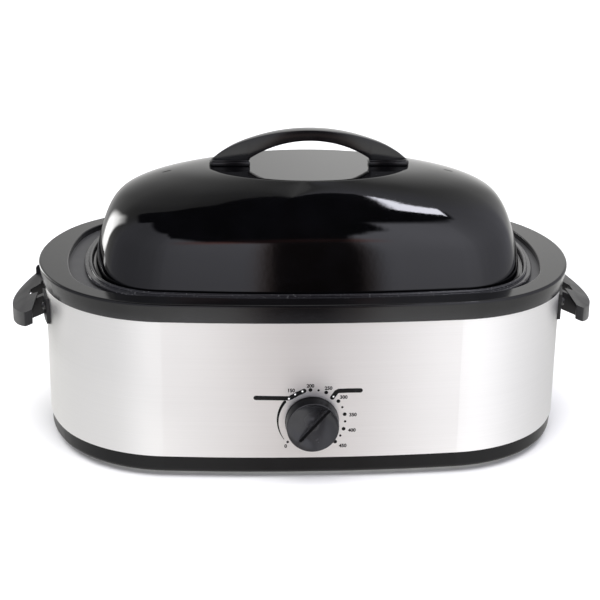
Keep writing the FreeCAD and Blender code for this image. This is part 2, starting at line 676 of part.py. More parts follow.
# terminal block behind the cord entry
b = new_body("terminal_block")
sk = path_sketch(b, "block_outline", "XY_Plane", [(42, 102, 2), (82, 102, 2), (82, 120, 2), (42, 120, 2)], offset=(0, 0, "plate_top"))
pad(b, sk, 13, "block_pad")
sk = circle_sketch(b, "block_wells", "XY_Plane", [(49, 111, 3.4), (62, 111, 3.4), (75, 111, 3.4)], offset=(0, 0, "plate_top + 13"))
pocket(b, sk, 5, "block_wells_cut")
sk = circle_sketch(b, "block_wire_holes", "XZ_Plane", [(49, 11.5, 1.7), (62, 11.5, 1.7), (75, 11.5, 1.7)], offset=(0, 0, -120.5))
pocket(b, sk, 6, "block_wire_back", reverse=True)
sk = circle_sketch(b, "block_wire_holes2", "XZ_Plane", [(49, 11.5, 1.7), (62, 11.5, 1.7), (75, 11.5, 1.7)], offset=(0, 0, -101.5))
pocket(b, sk, 6, "block_wire_front")
node(b, "terminal_block")
node(group("terminal_screws", [screw("term_screw%d" % i, (x, 111, 15.4), (0, 0, -1), 3.0, 2.0, 1.4, 1.9) for i, x in enumerate((49, 62, 75))]), "terminal_screws")

# cord gland in the rear wall
REAR = VAL["collar_half_depth"] - VAL["wrap_inset"]
BOWDROP = VAL["collar_bow_radius"] - VAL["wrap_inset"]
GX, GZ = 62.0, 46.0
gy = REAR - (BOWDROP - math.sqrt(BOWDROP ** 2 - GX ** 2))        # wall at the gland
b = new_body("cord_gland")
sk = path_sketch(b, "gland_section", "XY_Plane", [
    (GX + 3.75, gy - 6.5), (GX + 8.6, gy - 6.5, 0.6), (GX + 8.6, gy - 1.2), (GX + 6.9, gy - 1.2), (GX + 6.9, gy + 0.7), (GX + 10.0, gy + 0.7, 0.6),
    (GX + 10.0, gy + 3.4, 1.0), (GX + 7.0, gy + 4.2, 0.8), (GX + 5.6, gy + 12.2, 1.0), (GX + 3.75, gy + 12.2)], offset=(0, 0, GZ))
rv = b.newObject("PartDesign::Revolution", "gland_turn")
rv.Profile = sk
dl = b.newObject("PartDesign::Line", "gland_axis")
dl.AttachmentSupport = [(origin_plane(b, "Y_Axis"), "")]
dl.MapMode = "Deactivated"
dl.Placement = FreeCAD.Placement(V(GX, 0, GZ), Rot(V(0, 0, 1), V(0, 1, 0)))
rv.ReferenceAxis = (dl, [""])
rv.Angle = 360
doc.recompute()
node(b, "cord_gland")

# leads: block to thermostat, block to cut-out, thermostat to band, cut-out to band
W = 1.25
leads = [
    tube("lead1", [(49, 101.2, 11.5), (49, 90, 11.5), (-8, 90, 11.5), (-8, BR + 8.4, 11.5), (-8, BR + 8.4, 37.4)], W, 5.0),
    tube("lead2", [(75, 101.2, 11.5), (75, 88, 11.5), (112, 88, 11.5), (112, 40, 11.5), (112, 40, 28.5), (69.0, 40, 28.5), (69.0, 31.8, 28.5)], W, 4.0),
    tube("lead3", [(8, BR + 8.4, 37.4), (8, BR + 8.4, 15.0), (8, 144.5, 15.0), (8, 144.5, 98), (20.4, 144.5, 98)], W, 5.0),
    tube("lead4", [(51.0, 31.8, 28.5), (51.0, 40, 28.5), (30, 40, 28.5), (30, 146.5, 28.5), (-24, 146.5, 28.5), (-24, 146.5, 96)], W, 4.0),
]
node(group("internal_leads", leads), "internal_leads")

# earth screw on the bottom plate
node(group("earth_screw", [screw("earth_s", (0, 118, 8.1), (0, 0, -1), 3.8, 2.4, 2.0, 6.2), cut("earth_ring", cyl("earth_disc", 5.0, 0.8, (0, 118, 7.3)), cyl("earth_eye", 2.1, 3, (0, 118, 6.5))),
                          cut("earth_nut", cyl("earth_nut_disc", 4.0, 1.8, (0, 118, 5.5)), cyl("earth_nut_eye", 2.05, 3, (0, 118, 5.0)))]), "earth_screw")

# ---------------------------------------------------------------- side handles
SLOPE = 0.445


def slope_z(x, drop=0.0):
    return 145.0 - SLOPE * (x - 274.0) - drop


def prism(name, pts, z0, h, arc=None):
    bd = new_body(name)
    s = new_sketch(bd, name + "_sk", "XY_Plane", (0, 0, z0))
    geo = []
    n = len(pts)
    for i in range(n):
        p, q = pts[i], pts[(i + 1) % n]
        if arc is not None and i == arc[0]:
            geo.append(Part.Arc(V(p[0], p[1], 0), V(arc[1], 0, 0), V(q[0], q[1], 0)))
        else:
            geo.append(Part.LineSegment(V(p[0], p[1], 0), V(q[0], q[1], 0)))
    for g in geo:
        s.addGeometry(g, False)
    for i in range(n):
        s.addConstraint(Sketcher.Constraint("Coincident", i, 2, (i + 1) % n, 1))
    if arc is not None:
        c = s.addConstraint(Sketcher.Constraint("DistanceY", arc[0], 1, arc[0], 2, pts[arc[0] + 1][1] - pts[arc[0]][1]))
    pad(bd, s, h, name + "_pad")
    return bd


def slab(name, top, low, half):
    bd = new_body(name)
    s = path_sketch(bd, name + "_sk", "XZ_Plane", [(255, slope_z(255, top)), (312, slope_z(312, top)), (312, slope_z(312, low)), (255, slope_z(255, low))])
    pad(bd, s, half * 2, name + "_pad", mid=True)
    return bd


HL = VAL["grip_half_length"]
outer = prism("grip_outline", [(274, -HL), (281, -HL), (281, HL), (274, HL), (274, 13), (284, 8), (284, -8), (274, -13)], 90, 90, arc=(1, VAL["grip_reach"]))
vert = round_edges(outer, outer.Tip, lambda e: abs(e.BoundBox.ZLength - 90) < 0.1 and abs(abs(e.CenterOfMass.y) - HL) < 0.2 and e.CenterOfMass.x > 280, 5.0, "grip_corner")
gb = common("grip_block", outer, slab("grip_slab", 0.0, 15.0, 100))
inner = prism("grip_hollow_outline", [(262, -HL + 2.6), (280.2, -HL + 2.6), (280.2, HL - 2.6), (262, HL - 2.6)], 90, 90, arc=(1, VAL["grip_reach"] - 2.6))
vert = round_edges(inner, inner.Tip, lambda e: abs(e.BoundBox.ZLength - 90) < 0.1 and abs(abs(e.CenterOfMass.y) - HL + 2.6) < 0.2 and e.CenterOfMass.x > 279, 3.0, "grip_hollow_corner")
gh = common("grip_hollow", inner, slab("grip_hollow_slab", 2.6, 30.0, 100))
gshell = cut("grip_shell", gb, gh)
# arms from the ears to the plate
arm_slab = slab("arm_slab", 0.6, 20.0, 60)
arm_box = group("arm_boxes", [box("arm_a", (21, 9, 60), (264.6, 23, 100)), box("arm_b", (21, 9, 60), (264.6, -32, 100))])
arms = common("grip_arms", arm_slab, arm_box)
# ears that follow the wall
eb = new_body("ear_ring")
es = oval_sketch(eb, "ear_outline", 125, ("collar", "wrap_inset - ear_thickness"), ("collar", "wrap_inset - 0.05"))
pad(eb, es, 27, "ear_pad")
ear_box = group("ear_boxes", [box("ear_a", (40, 32, 60), (245, 22, 100)), box("ear_b", (40, 32, 60), (245, -54, 100))])
ears = common("grip_ears", eb, ear_box)
# the arms stop at the wall
wall_b = new_body("wall_block")
ws = oval_sketch(wall_b, "wall_outline", 90, ("collar", "wrap_inset - 0.05"))
pad(wall_b, ws, 90, "wall_pad")
# upright lid-rest lug at the rear inner end of the plate
lug = fuse("grip_lug", [box("lug_box", (8, 2.0, 6.5), (275.5, 55, 141)), cyl("lug_round", 4.0, 2.0, (279.5, 57, 147.5), (0, -1, 0))])
raw = fuse("grip_raw", [gshell, arms, ears, lug])
solid = cut("grip_trim", raw, wall_b)
ear_drills = []
for i, (cx, nx, ny) in enumerate(hole_pts):
    if cx > 0:
        ear_drills.append(cyl("ear_drill%d" % i, 2.25, 22, (cx + nx * 165, ny * 165, HANDLE_SCREW_Z), (nx, ny, 0)))
right = cut("right_side_handle", solid, group("ear_drills", ear_drills))
node(right, "right_side_handle")
left = doc.addObject("Part::Mirroring", "left_side_handle")
left.Source = right
left.Base = V(0, 0, 0)
left.Normal = V(1, 0, 0)
node(left, "left_side_handle")

hs, hn = [], []
R_EAR = VAL["collar_side_radius"] - VAL["wrap_inset"] + VAL["ear_thickness"]
R_IN = VAL["collar_side_radius"] - VAL["wrap_inset"] - VAL["wrap_thickness"]
for i, (cx, nx, ny) in enumerate(hole_pts):
    hs.append(screw("handle_screw%d" % i, (cx + nx * (R_EAR + 0.02), ny * (R_EAR + 0.02), HANDLE_SCREW_Z), (-nx, -ny, 0), 3.9, 2.6, 2.0, 9.5))
    n1 = cyl("handle_nut_d%d" % i, 4.0, 3.0, (cx + nx * (R_IN - 3.15), ny * (R_IN - 3.15), HANDLE_SCREW_Z), (nx, ny, 0))
    n2 = cyl("handle_nut_h%d" % i, 2.05, 5.0, (cx + nx * (R_IN - 4.15), ny * (R_IN - 4.15), HANDLE_SCREW_Z), (nx, ny, 0))
    hn.append(cut("handle_nut%d" % i, n1, n2))
node(group("handle_screws", hs), "handle_screws")
node(group("handle_nuts", hn), "handle_nuts")

# ---------------------------------------------------------------- roasting pan
b = new_body("roasting_pan")
sp = oval_sketch(b, "pan_spine", 0, ("mouth", 0), shift="stack_shift")
# section: rolled edge, flange, ridge, lid channel, wall, floor
pan_pts = [
    (6.5, 176.65, 1.7), (6.5, 180.4, 1.7), (1.95, 180.4, 0.5), (1.95, 183.0, 1.9), (-1.95, 183.0, 1.9), (-1.95, 177.6, 1.3),
    (-11.9, 177.6, 1.9), (-17.4, 48.9, 20.0), (-48, 48.9), (-48, 48.0), (-16.5, 48.0, 20.9), (-11.0, 176.65, 1.0),
    (-1.05, 176.65, 0.8), (-1.05, 182.1, 1.0), (1.05, 182.1, 1.0), (1.05, 179.5, 0.6), (3.1, 179.5, 0.6), (3.1, 176.65, 0.4)]
pr = path_sketch(b, "pan_section", "XZ_Plane", pan_pts, offset=("mouth_half_width + stack_shift", 0, 0))
pipe(b, pr, sp, "pan_sheet")
sk = oval_sketch(b, "pan_floor", "pan_floor_low", ("mouth", 47), shift="stack_shift")
pad(b, sk, "sheet_metal", "pan_floor_pad")
node(b, "roasting_pan")

# ---------------------------------------------------------------- rack
b = new_body("rack_frame")
sp = oval_sketch(b, "rack_spine", "rack_height", ("mouth", 34), shift="stack_shift")
pr = circle_sketch(b, "rack_round", "XZ_Plane", [("mouth_half_width + stack_shift - 34", "rack_height", "rack_wire_radius")])
pipe(b, pr, sp, "rack_loop")
rack_loop = b
RW, RB, RH = VAL["rack_wire_radius"], VAL["rack_bar_radius"], VAL["rack_height"]
SH = VAL["stack_shift"]
ra, rb_, rrf, rrs, rrc = params("mouth", 34)


def oval_y(x, p):
    a, bb, rf, rs, rc = p
    P_, Q_, C_, T1, T2 = oval_centres(*p)
    x = abs(x)
    if x <= rf * math.cos(T1):
        return P_[1] + math.sqrt(rf * rf - x * x)
    return C_[1] + math.sqrt(max(rc * rc - (x - C_[0]) ** 2, 0))


legs = []
for i, (sx, sy) in enumerate(((1, 1), (-1, 1), (-1, -1), (1, -1))):
    legs.append(cyl("rack_leg%d" % i, 2.0, RH - 49.6, (SH + sx * 111.0, sy * oval_y(111.0, params("mouth", 34)), 49.6)))
node(fuse("rack_frame", [rack_loop] + legs), "rack_frame")
rack_loop.Label = "rack_ring"
bars = []
for i in range(-8, 9):
    x = i * 18.5
    y = oval_y(x, (ra, rb_, rrf, rrs, rrc)) + 0.6
    bars.append(cyl("rack_bar%d" % (i + 8), RB, 2 * y, (x + SH, -y, RH + RW + RB), (0, 1, 0)))
for i, y in enumerate((-42.0, 0.0, 42.0)):
    bars.append(cyl("rack_long%d" % i, 2.0, 2 * 178, (SH - 178, y, RH + RW + 2 * RB + 2.0), (1, 0, 0)))
node(group("rack_crossbars", bars), "rack_crossbars")
# lifting handles at both ends: feet stand on the loop and rise inside the pan wall
hands = []
for i, s_ in enumerate((1, -1)):
    xh = SH + s_ * 184.9
    hands.append(tube("rack_handle%d" % i, [(xh, -42, RH + RW + 0.02), (xh, -42, RH + 78), (xh, 42, RH + 78), (xh, 42, RH + RW + 0.02)], 2.0, 9.0))
node(group("rack_handles", hands), "rack_handles")

# ---------------------------------------------------------------- lid
LID = [  # height, half width, half depth; the last row is the edge of the flat top
    (179.4, 217.5, 129.0), (192.0, 215.2, 127.0), (207.0, 211.7, 123.5), (218.0, 208.3, 120.2), (229.0, 204.1, 115.7),
    (240.0, 198.1, 108.4), (250.0, 188.8, 98.5), (258.0, 175.3, 88.9), (264.0, 160.4, 81.3), (268.0, 146.8, 75.8),
    (271.5, 130.8, 70.6), (275.4, 101.4, 65.0)]
TOP_Z = LID[-1][0]


def lid_params(a, bb):
    base = params("mouth", 5.5)
    k = bb / base[1]
    return (a, bb, base[2] * k, base[3] * k, base[4] * k)


def lid_sections(t):
    """Outline sizes at each height, moved in by t along the shell's normal."""
    out = []
    n = len(LID)
    for i, (z, a, bb) in enumerate(LID):
        j0, j1 = max(i - 1, 0), min(i + 1, n - 1)
        dz = LID[j1][0] - LID[j0][0]
        da = LID[j0][1] - LID[j1][1]
        db = LID[j0][2] - LID[j1][2]
        la, lb = math.hypot(dz, da), math.hypot(dz, db)
        nza, nzb = da / la, db / lb
        nz = (nza + nzb) / 2
        out.append((z - t * (nz if i < n - 1 else 1.0), a - t * dz / la, bb - t * dz / lb))
    return out


b = new_body("lid_solid")
sks = [free_oval_sketch(b, "lid_sec%d" % i, z, lid_params(a, bb), shift="stack_shift") for i, (z, a, bb) in enumerate(lid_sections(0.0))]
loft(b, sks, "lid_loft")
lid_solid = b
b2 = new_body("lid_core")
sec = lid_sections(0.9)
sks = [free_oval_sketch(b2, "core_sec%d" % i, z if i else 175.0, lid_params(a, bb), shift="stack_shift") for i, (z, a, bb) in enumerate(sec)]
loft(b2, sks, "core_loft")
b3 = new_body("lid_rim")
sp = oval_sketch(b3, "rim_spine", "lid_rim_height", ("mouth", 5.9), shift="stack_shift")
pr = circle_sketch(b3, "rim_round", "XZ_Plane", [("mouth_half_width + stack_shift - 5.9", "lid_rim_height", "lid_rim_radius")])
pipe(b3, pr, sp, "rim_roll")
shell = cut("lid_shell", lid_solid, b2)
withrim = fuse("lid_rimmed", [shell, b3])
slots = []
for i, s_ in enumerate((1, -1)):
    x = SH + s_ * VAL["lid_slot_x"]
    slots.append(box("lid_slot%d" % i, ("lid_slot_length", "lid_slot_width", 30), (x - VAL["lid_slot_length"] / 2, -VAL["lid_slot_width"] / 2, 255)))
LSX = 82.0
for i, s_ in enumerate((1, -1)):
    slots.append(cyl("lid_hole%d" % i, 2.6, 30, (SH + s_ * LSX, 0, 258)))
node(cut("lid_dome", withrim, group("lid_cuts", slots)), "lid_dome")

# arched lid handle
b = new_body("handle_arch")
RO, RI = 182.0, 108.0
top_z, in_z = VAL["lid_handle_top"], 301.4
xo = 97.5
zo = top_z - (RO - math.sqrt(RO ** 2 - xo ** 2))
xi = 60.4
zi = in_z - (RI - math.sqrt(RI ** 2 - xi ** 2))
sk = new_sketch(b, "arch_profile", "XZ_Plane", ("stack_shift", 0, 0))
geo = [
    Part.Arc(V(-xo, zo, 0), V(0, top_z, 0), V(xo, zo, 0)),
    Part.LineSegment(V(xo, zo, 0), V(101.0, 279.0, 0)),
    Part.LineSegment(V(101.0, 279.0, 0), V(101.0, 268, 0)),
    Part.LineSegment(V(101.0, 268, 0), V(xi, 268, 0)),
    Part.LineSegment(V(xi, 268, 0), V(xi, zi, 0)),
    Part.Arc(V(xi, zi, 0), V(0, in_z, 0), V(-xi, zi, 0)),
    Part.LineSegment(V(-xi, zi, 0), V(-xi, 268, 0)),
    Part.LineSegment(V(-xi, 268, 0), V(-101.0, 268, 0)),
    Part.LineSegment(V(-101.0, 268, 0), V(-101.0, 279.0, 0)),
    Part.LineSegment(V(-101.0, 279.0, 0), V(-xo, zo, 0))]
for g in geo:
    sk.addGeometry(g, False)
pd = pad(b, sk, "lid_handle_depth", "arch_pad", mid=True)
round_edges(b, pd, lambda e: e.BoundBox.ZMin > 281 and abs(abs(e.CenterOfMass.y) - 7.5) < 0.05 and e.BoundBox.XLength > 20, 1.8, "arch_round")
trim = cut("handle_trim", b, lid_solid)
bores = group("handle_bores", [cyl("handle_bore%d" % i, 2.05, 17, (SH + s_ * LSX, 0, 265)) for i, s_ in enumerate((1, -1))])
node(cut("lid_handle", trim, bores), "lid_handle")
lw = []
ls = []
for i, s_ in enumerate((1, -1)):
    zt = TOP_Z - 0.95
    lw.append(cut("lid_washer%d" % i, cyl("lid_washer_d%d" % i, 5.5, 0.8, (SH + s_ * LSX, 0, zt - 0.8)), cyl("lid_washer_h%d" % i, 2.2, 3, (SH + s_ * LSX, 0, zt - 2))))
    ls.append(screw("lid_screw%d" % i, (SH + s_ * LSX, 0, zt - 0.8), (0, 0, 1), 3.8, 2.4, 2.0, 7.0))
node(group("lid_washers", lw), "lid_washers")
node(group("lid_screws", ls), "lid_screws")

# ---------------------------------------------------------------- knob and shaft
KZ = VAL["dial_height"]
KY = FRONT - 1.2                                                 # rear face of the knob
b = new_body("knob_blank")
prof = [(KY, 23.0), (KY, 26.0, 0.5), (KY - 2.2, 26.0, 0.4), (KY - 16.0, 25.0, 1.4), (KY - 16.0, 0.0), (KY - 4.3, 0.0), (KY - 4.3, 23.0, 0.8)]
sk = new_sketch(b, "knob_turn_profile", "YZ_Plane", (0, "dial_height", 0))
add_path(sk, prof)
rv = b.newObject("PartDesign::Revolution", "knob_turn")
rv.Profile = sk
rv.ReferenceAxis = (sk, ["H_Axis"])
rv.Angle = 360
doc.recompute()
BAR = 41.0                                                       # pointer, degrees clockwise from up, seen from the front
# finger scoops each side of the grip bar, drawn upright and turned by the bar's angle
u = math.radians(90 - BAR)
ux, uz = math.cos(u), math.sin(u)                                # along the bar, seen from the front
vx, vz = -uz, ux


def on_face(a, c):
    return (a * ux + c * vx, num("dial_height") + a * uz + c * vz)


for i, sgn in enumerate((1, -1)):
    r_s, w0, w1 = 22.4, 4.6, 5.8
    a0 = -math.sqrt(r_s ** 2 - w0 ** 2)
    a1 = math.sqrt(r_s ** 2 - w1 ** 2)
    s = new_sketch(b, "scoop%d" % i, "XZ_Plane", (0, 0, -(KY - 16.0)))
    p0, p1, pm = on_face(a0, sgn * w0), on_face(a1, sgn * w1), on_face(0, sgn * r_s)
    s.addGeometry(Part.Arc(V(p0[0], p0[1], 0), V(pm[0], pm[1], 0), V(p1[0], p1[1], 0)), False)
    s.addGeometry(Part.LineSegment(V(p1[0], p1[1], 0), V(p0[0], p0[1], 0)), False)
    pk = pocket(b, s, 8.0, "scoop_cut%d" % i)
    zlo, zhi = KY - 16.0, KY - 8.0
    pk = round_edges(b, pk, lambda e: abs(e.BoundBox.YMin - (KY - 8.0)) < 0.01 and abs(e.BoundBox.YMax - (KY - 8.0)) < 0.01 and (e.CenterOfMass.x * vx + (e.CenterOfMass.z - KZ) * vz) * sgn > 0.5, 3.0, "scoop_soft%d" % i)
# bore for the shaft, inside the grip bar
s = circle_sketch(b, "shaft_bore", "XZ_Plane", [(0, "dial_height", "shaft_radius + 0.02")], offset=(0, 0, -(KY - 4.2)))
pocket(b, s, 9.3, "shaft_bore_cut", reverse=True)
node(b, "control_knob")

b = new_body("thermostat_shaft")
s = circle_sketch(b, "shaft_round", "XZ_Plane", [(0, "dial_height", "shaft_radius")], offset=(0, 0, -(BR + 6.0)))
pad(b, s, BR + 6.0 - (KY - 12.0), "shaft_pad")
node(b, "thermostat_shaft")

doc.recompute()

# ---------------------------------------------------------------- check and write
bad = []
for o in doc.Objects:
    st = set(o.State)
    if st & {"Invalid", "Error"}:
        bad.append("%s %s" % (o.Name, o.State))
names = set()
for o, name in NODES:
    sh = o.Shape
    if sh.isNull() or not sh.isValid() or not sh.Solids:
        bad.append("%s shape" % name)
        continue
    if name in names:
        bad.append("%s twice" % name)
    names.add(name)
    vol = sum(x.Volume for x in sh.Solids)
    bb = sh.BoundBox
    print("%-20s solids %2d faces %4d vol %10.0f  x %.1f..%.1f y %.1f..%.1f z %.1f..%.1f" % (
        name, len(sh.Solids), len(sh.Faces), vol, bb.XMin, bb.XMax, bb.YMin, bb.YMax, bb.ZMin, bb.ZMax))
if bad:
    raise RuntimeError("; ".join(bad))
for f in os.listdir("parts"):
    if f.endswith(".step"):
        os.remove(os.path.join("parts", f))
for o, name in NODES:
    o.Shape.exportStep("parts/%s.step" % name)
print(len(NODES), "nodes written")
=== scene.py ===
"""Looks of the electric roaster oven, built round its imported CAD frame. Metres, X long side, -Y dial side, Z up."""
import json
import math
import random

import bmesh
import bpy
import numpy as np
from mathutils import Matrix, Vector


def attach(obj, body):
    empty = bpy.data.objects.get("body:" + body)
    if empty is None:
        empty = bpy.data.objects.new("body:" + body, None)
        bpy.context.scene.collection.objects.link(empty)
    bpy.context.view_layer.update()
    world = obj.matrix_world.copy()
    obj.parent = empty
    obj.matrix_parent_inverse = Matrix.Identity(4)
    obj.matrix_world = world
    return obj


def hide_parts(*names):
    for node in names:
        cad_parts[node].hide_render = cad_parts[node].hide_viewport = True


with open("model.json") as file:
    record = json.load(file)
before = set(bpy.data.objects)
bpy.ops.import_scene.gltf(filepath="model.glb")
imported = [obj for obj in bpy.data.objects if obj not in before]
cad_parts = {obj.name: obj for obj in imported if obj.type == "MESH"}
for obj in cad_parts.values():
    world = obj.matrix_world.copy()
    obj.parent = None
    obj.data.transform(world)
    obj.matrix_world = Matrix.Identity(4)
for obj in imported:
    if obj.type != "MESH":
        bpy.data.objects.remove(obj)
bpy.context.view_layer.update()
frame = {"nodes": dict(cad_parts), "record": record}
NODES = frame["nodes"]
SCENE = bpy.context.scene
COLL = SCENE.collection
random.seed(7)
PI = math.pi
MM = 0.001

# ------------------------------------------------------------------ outlines shared with the CAD
FAMILY = {
    "collar": (272.1, 165.0, 1542.5, 188.6, 135.25),
    "mouth": (223.0, 134.5, 1140.0, 250.0, 78.0),
    "opening": (241.3, 143.5, 1140.0, 290.0, 88.0),
}
SHIFT = 4.0


def oval_centres(a, b, rf, rs, rc):
    p = (0.0, b - rf)
    q = (a - rs, 0.0)
    r1, r2 = rf - rc, rs - rc
    dx, dy = q[0] - p[0], q[1] - p[1]
    d = math.hypot(dx, dy)
    t = (r1 * r1 - r2 * r2 + d * d) / (2 * d)
    h = math.sqrt(r1 * r1 - t * t)
    c = max(((p[0] + t * dx / d + k * h * dy / d, p[1] + t * dy / d - k * h * dx / d) for k in (-1, 1)), key=lambda s: s[0] + s[1])
    return p, q, c, math.atan2(c[1] - p[1], c[0] - p[0]), math.atan2(c[1] - q[1], c[0] - q[0])


def oval_loop(a, b, rf, rs, rc, n):
    """Points and outward normals round the oval, n to each of its eight arcs."""
    p, q, c, t1, t2 = oval_centres(a, b, rf, rs, rc)
    rows = [
        (q[0], 0.0, rs, -t2, t2), (c[0], c[1], rc, t2, t1), (0.0, p[1], rf, t1, PI - t1), (-c[0], c[1], rc, PI - t1, PI - t2),
        (-q[0], 0.0, rs, PI - t2, PI + t2), (-c[0], -c[1], rc, PI + t2, PI + t1), (0.0, -p[1], rf, PI + t1, 2 * PI - t1),
        (c[0], -c[1], rc, 2 * PI - t1, 2 * PI - t2)]
    out = []
    for x, y, r, s, e in rows:
        for i in range(n):
            t = s + (e - s) * i / n
            out.append((x + r * math.cos(t), y + r * math.sin(t), math.cos(t), math.sin(t)))
    return np.array(out)


def round_profile(points, seg=5):
    """(x, z, radius) corners of a closed section, with each corner turned into an arc."""
    out = []
    n = len(points)
    for i in range(n):
        x, z = points[i][:2]
        r = points[i][2] if len(points[i]) > 2 else 0
        if r <= 0:
            out.append((x, z))
            continue
        a = Vector((points[i - 1][0] - x, points[i - 1][1] - z)).normalized()
        b = Vector((points[(i + 1) % n][0] - x, points[(i + 1) % n][1] - z)).normalized()
        ang = a.angle(b)
        t = r / math.tan(ang / 2)
        p1, p2 = Vector((x, z)) + a * t, Vector((x, z)) + b * t
        c = Vector((x, z)) + (a + b).normalized() * (r / math.sin(ang / 2))
        s = math.atan2(p1.y - c.y, p1.x - c.x)
        e = math.atan2(p2.y - c.y, p2.x - c.x)
        while e - s > PI:
            e -= 2 * PI
        while e - s < -PI:
            e += 2 * PI
        k = max(2, int(seg * abs(e - s) / (PI / 2) + 0.999))
        for j in range(k + 1):
            u = s + (e - s) * j / k
            out.append((c.x + r * math.cos(u), c.y + r * math.sin(u)))
    return out


def new_object(name, verts, faces, material=None, smooth=35.0):
    me = bpy.data.meshes.new(name)
    me.from_pydata([tuple(v) for v in verts], [], faces)
    me.validate()
    me.update()
    ob = bpy.data.objects.new(name, me)
    COLL.objects.link(ob)
    if smooth is not None:
        me.shade_smooth()
        me.set_sharp_from_angle(angle=math.radians(smooth))
    if material is not None:
        me.materials.append(material)
    return ob


def apply_modifiers(ob):
    bpy.context.view_layer.update()
    dg = bpy.context.evaluated_depsgraph_get()
    me = bpy.data.meshes.new_from_object(ob.evaluated_get(dg), depsgraph=dg)
    old = ob.data
    ob.modifiers.clear()
    ob.data = me
    me.name = old.name + "_m"
    return ob


def recalc(ob):
    bm = bmesh.new()
    bm.from_mesh(ob.data)
    bmesh.ops.remove_doubles(bm, verts=bm.verts, dist=1e-7)
    bmesh.ops.recalc_face_normals(bm, faces=bm.faces)
    bm.to_mesh(ob.data)
    bm.free()
    return ob


def boolean(ob, tool, op="DIFFERENCE", keep=False):
    m = ob.modifiers.new("b", "BOOLEAN")
    m.operation = op
    m.solver = "EXACT"
    m.object = tool
    apply_modifiers(ob)
    if not keep:
        bpy.data.objects.remove(tool)
    return ob


def bevel(ob, width, segments=3, angle=30.0, smooth=40.0):
    m = ob.modifiers.new("v", "BEVEL")
    m.width = width
    m.segments = segments
    m.limit_method = "ANGLE"
    m.angle_limit = math.radians(angle)
    m.use_clamp_overlap = True
    m.harden_normals = False
    apply_modifiers(ob)
    ob.data.shade_smooth()
    ob.data.set_sharp_from_angle(angle=math.radians(smooth))
    return ob


# ------------------------------------------------------------------ materials
class Mat:
    """A Principled material whose colour, roughness and bump come from procedural nodes."""

    def __init__(self, name, color, rough, metallic=0.0, ior=1.5, spec=0.5, coat=0.0, coat_rough=0.05, aniso=0.0):
        self.m = bpy.data.materials.new(name)
        self.m.use_nodes = True
        self.t = self.m.node_tree
        self.t.nodes.clear()
        self.out = self.t.nodes.new("ShaderNodeOutputMaterial")
        self.b = self.t.nodes.new("ShaderNodeBsdfPrincipled")
        self.t.links.new(self.b.outputs["BSDF"], self.out.inputs["Surface"])
        self.b.inputs["Base Color"].default_value = (*color, 1)
        self.b.inputs["Roughness"].default_value = rough
        self.b.inputs["Metallic"].default_value = metallic
        self.b.inputs["IOR"].default_value = ior
        self.b.inputs["Specular IOR Level"].default_value = spec
        self.b.inputs["Coat Weight"].default_value = coat
        self.b.inputs["Coat Roughness"].default_value = coat_rough
        self.b.inputs["Anisotropic"].default_value = aniso
        self.m.diffuse_color = (*color, 1)
        self.coord = self.t.nodes.new("ShaderNodeTexCoord")
        self.normal = None

    def node(self, kind, **props):
        n = self.t.nodes.new(kind)
        for k, v in props.items():
            setattr(n, k, v)
        return n

    def put(self, n, key, value):
        if hasattr(value, "is_linked"):
            self.t.links.new(value, n.inputs[key])
        else:
            n.inputs[key].default_value = value

    def space(self, scale=(1, 1, 1), loc=(0, 0, 0), rot=(0, 0, 0)):
        n = self.node("ShaderNodeMapping")
        self.t.links.new(self.coord.outputs["Object"], n.inputs["Vector"])
        n.inputs["Scale"].default_value = scale
        n.inputs["Location"].default_value = loc
        n.inputs["Rotation"].default_value = rot
        return n.outputs["Vector"]

    def noise(self, vec, scale=1.0, detail=4.0, rough=0.5, dist=0.0):
        n = self.node("ShaderNodeTexNoise")
        self.put(n, "Vector", vec)
        self.put(n, "Scale", scale)
        self.put(n, "Detail", detail)
        self.put(n, "Roughness", rough)
        self.put(n, "Distortion", dist)
        return n.outputs["Fac"]

    def voronoi(self, vec, scale=1.0, feature="F1", randomness=1.0):
        n = self.node("ShaderNodeTexVoronoi", feature=feature)
        self.put(n, "Vector", vec)
        self.put(n, "Scale", scale)
        self.put(n, "Randomness", randomness)
        return n.outputs["Distance"]

    def fit(self, value, lo, hi, a, b, smooth=False):
        n = self.node("ShaderNodeMapRange")
        if smooth:
            n.interpolation_type = "SMOOTHSTEP"
        self.put(n, "Value", value)
        self.put(n, "From Min", lo)
        self.put(n, "From Max", hi)
        self.put(n, "To Min", a)
        self.put(n, "To Max", b)
        return n.outputs["Result"]

    def mix(self, fac, a, b, blend="MIX"):
        n = self.node("ShaderNodeMix", data_type="RGBA", blend_type=blend)
        self.put(n, 0, fac)
        for key, v in ((6, a), (7, b)):
            if hasattr(v, "is_linked"):
                self.t.links.new(v, n.inputs[key])
            else:
                n.inputs[key].default_value = (*v, 1)
        return n.outputs[2]

    def calc(self, op, a, b=0.0):
        n = self.node("ShaderNodeMath", operation=op)
        self.put(n, 0, a)
        self.put(n, 1, b)
        return n.outputs[0]

    def color(self, v):
        self.put(self.b, "Base Color", v)
        return self

    def rough(self, v):
        self.put(self.b, "Roughness", v)
        return self

    def bump(self, height, strength, distance):
        n = self.node("ShaderNodeBump")
        n.inputs["Strength"].default_value = strength
        n.inputs["Distance"].default_value = distance
        self.t.links.new(height, n.inputs["Height"])
        if self.normal is not None:
            self.t.links.new(self.normal, n.inputs["Normal"])
        self.normal = n.outputs["Normal"]
        self.t.links.new(self.normal, self.b.inputs["Normal"])
        return self

    def edge_wear(self, color_socket, worn, distance=0.0008, amount=0.35):
        """Lighter, rubbed paint on outer edges, from the surface's pointiness."""
        g = self.node("ShaderNodeNewGeometry")
        f = self.fit(g.outputs["Pointiness"], 0.52, 0.60, 0.0, amount, True)
        return self.mix(f, color_socket, worn)


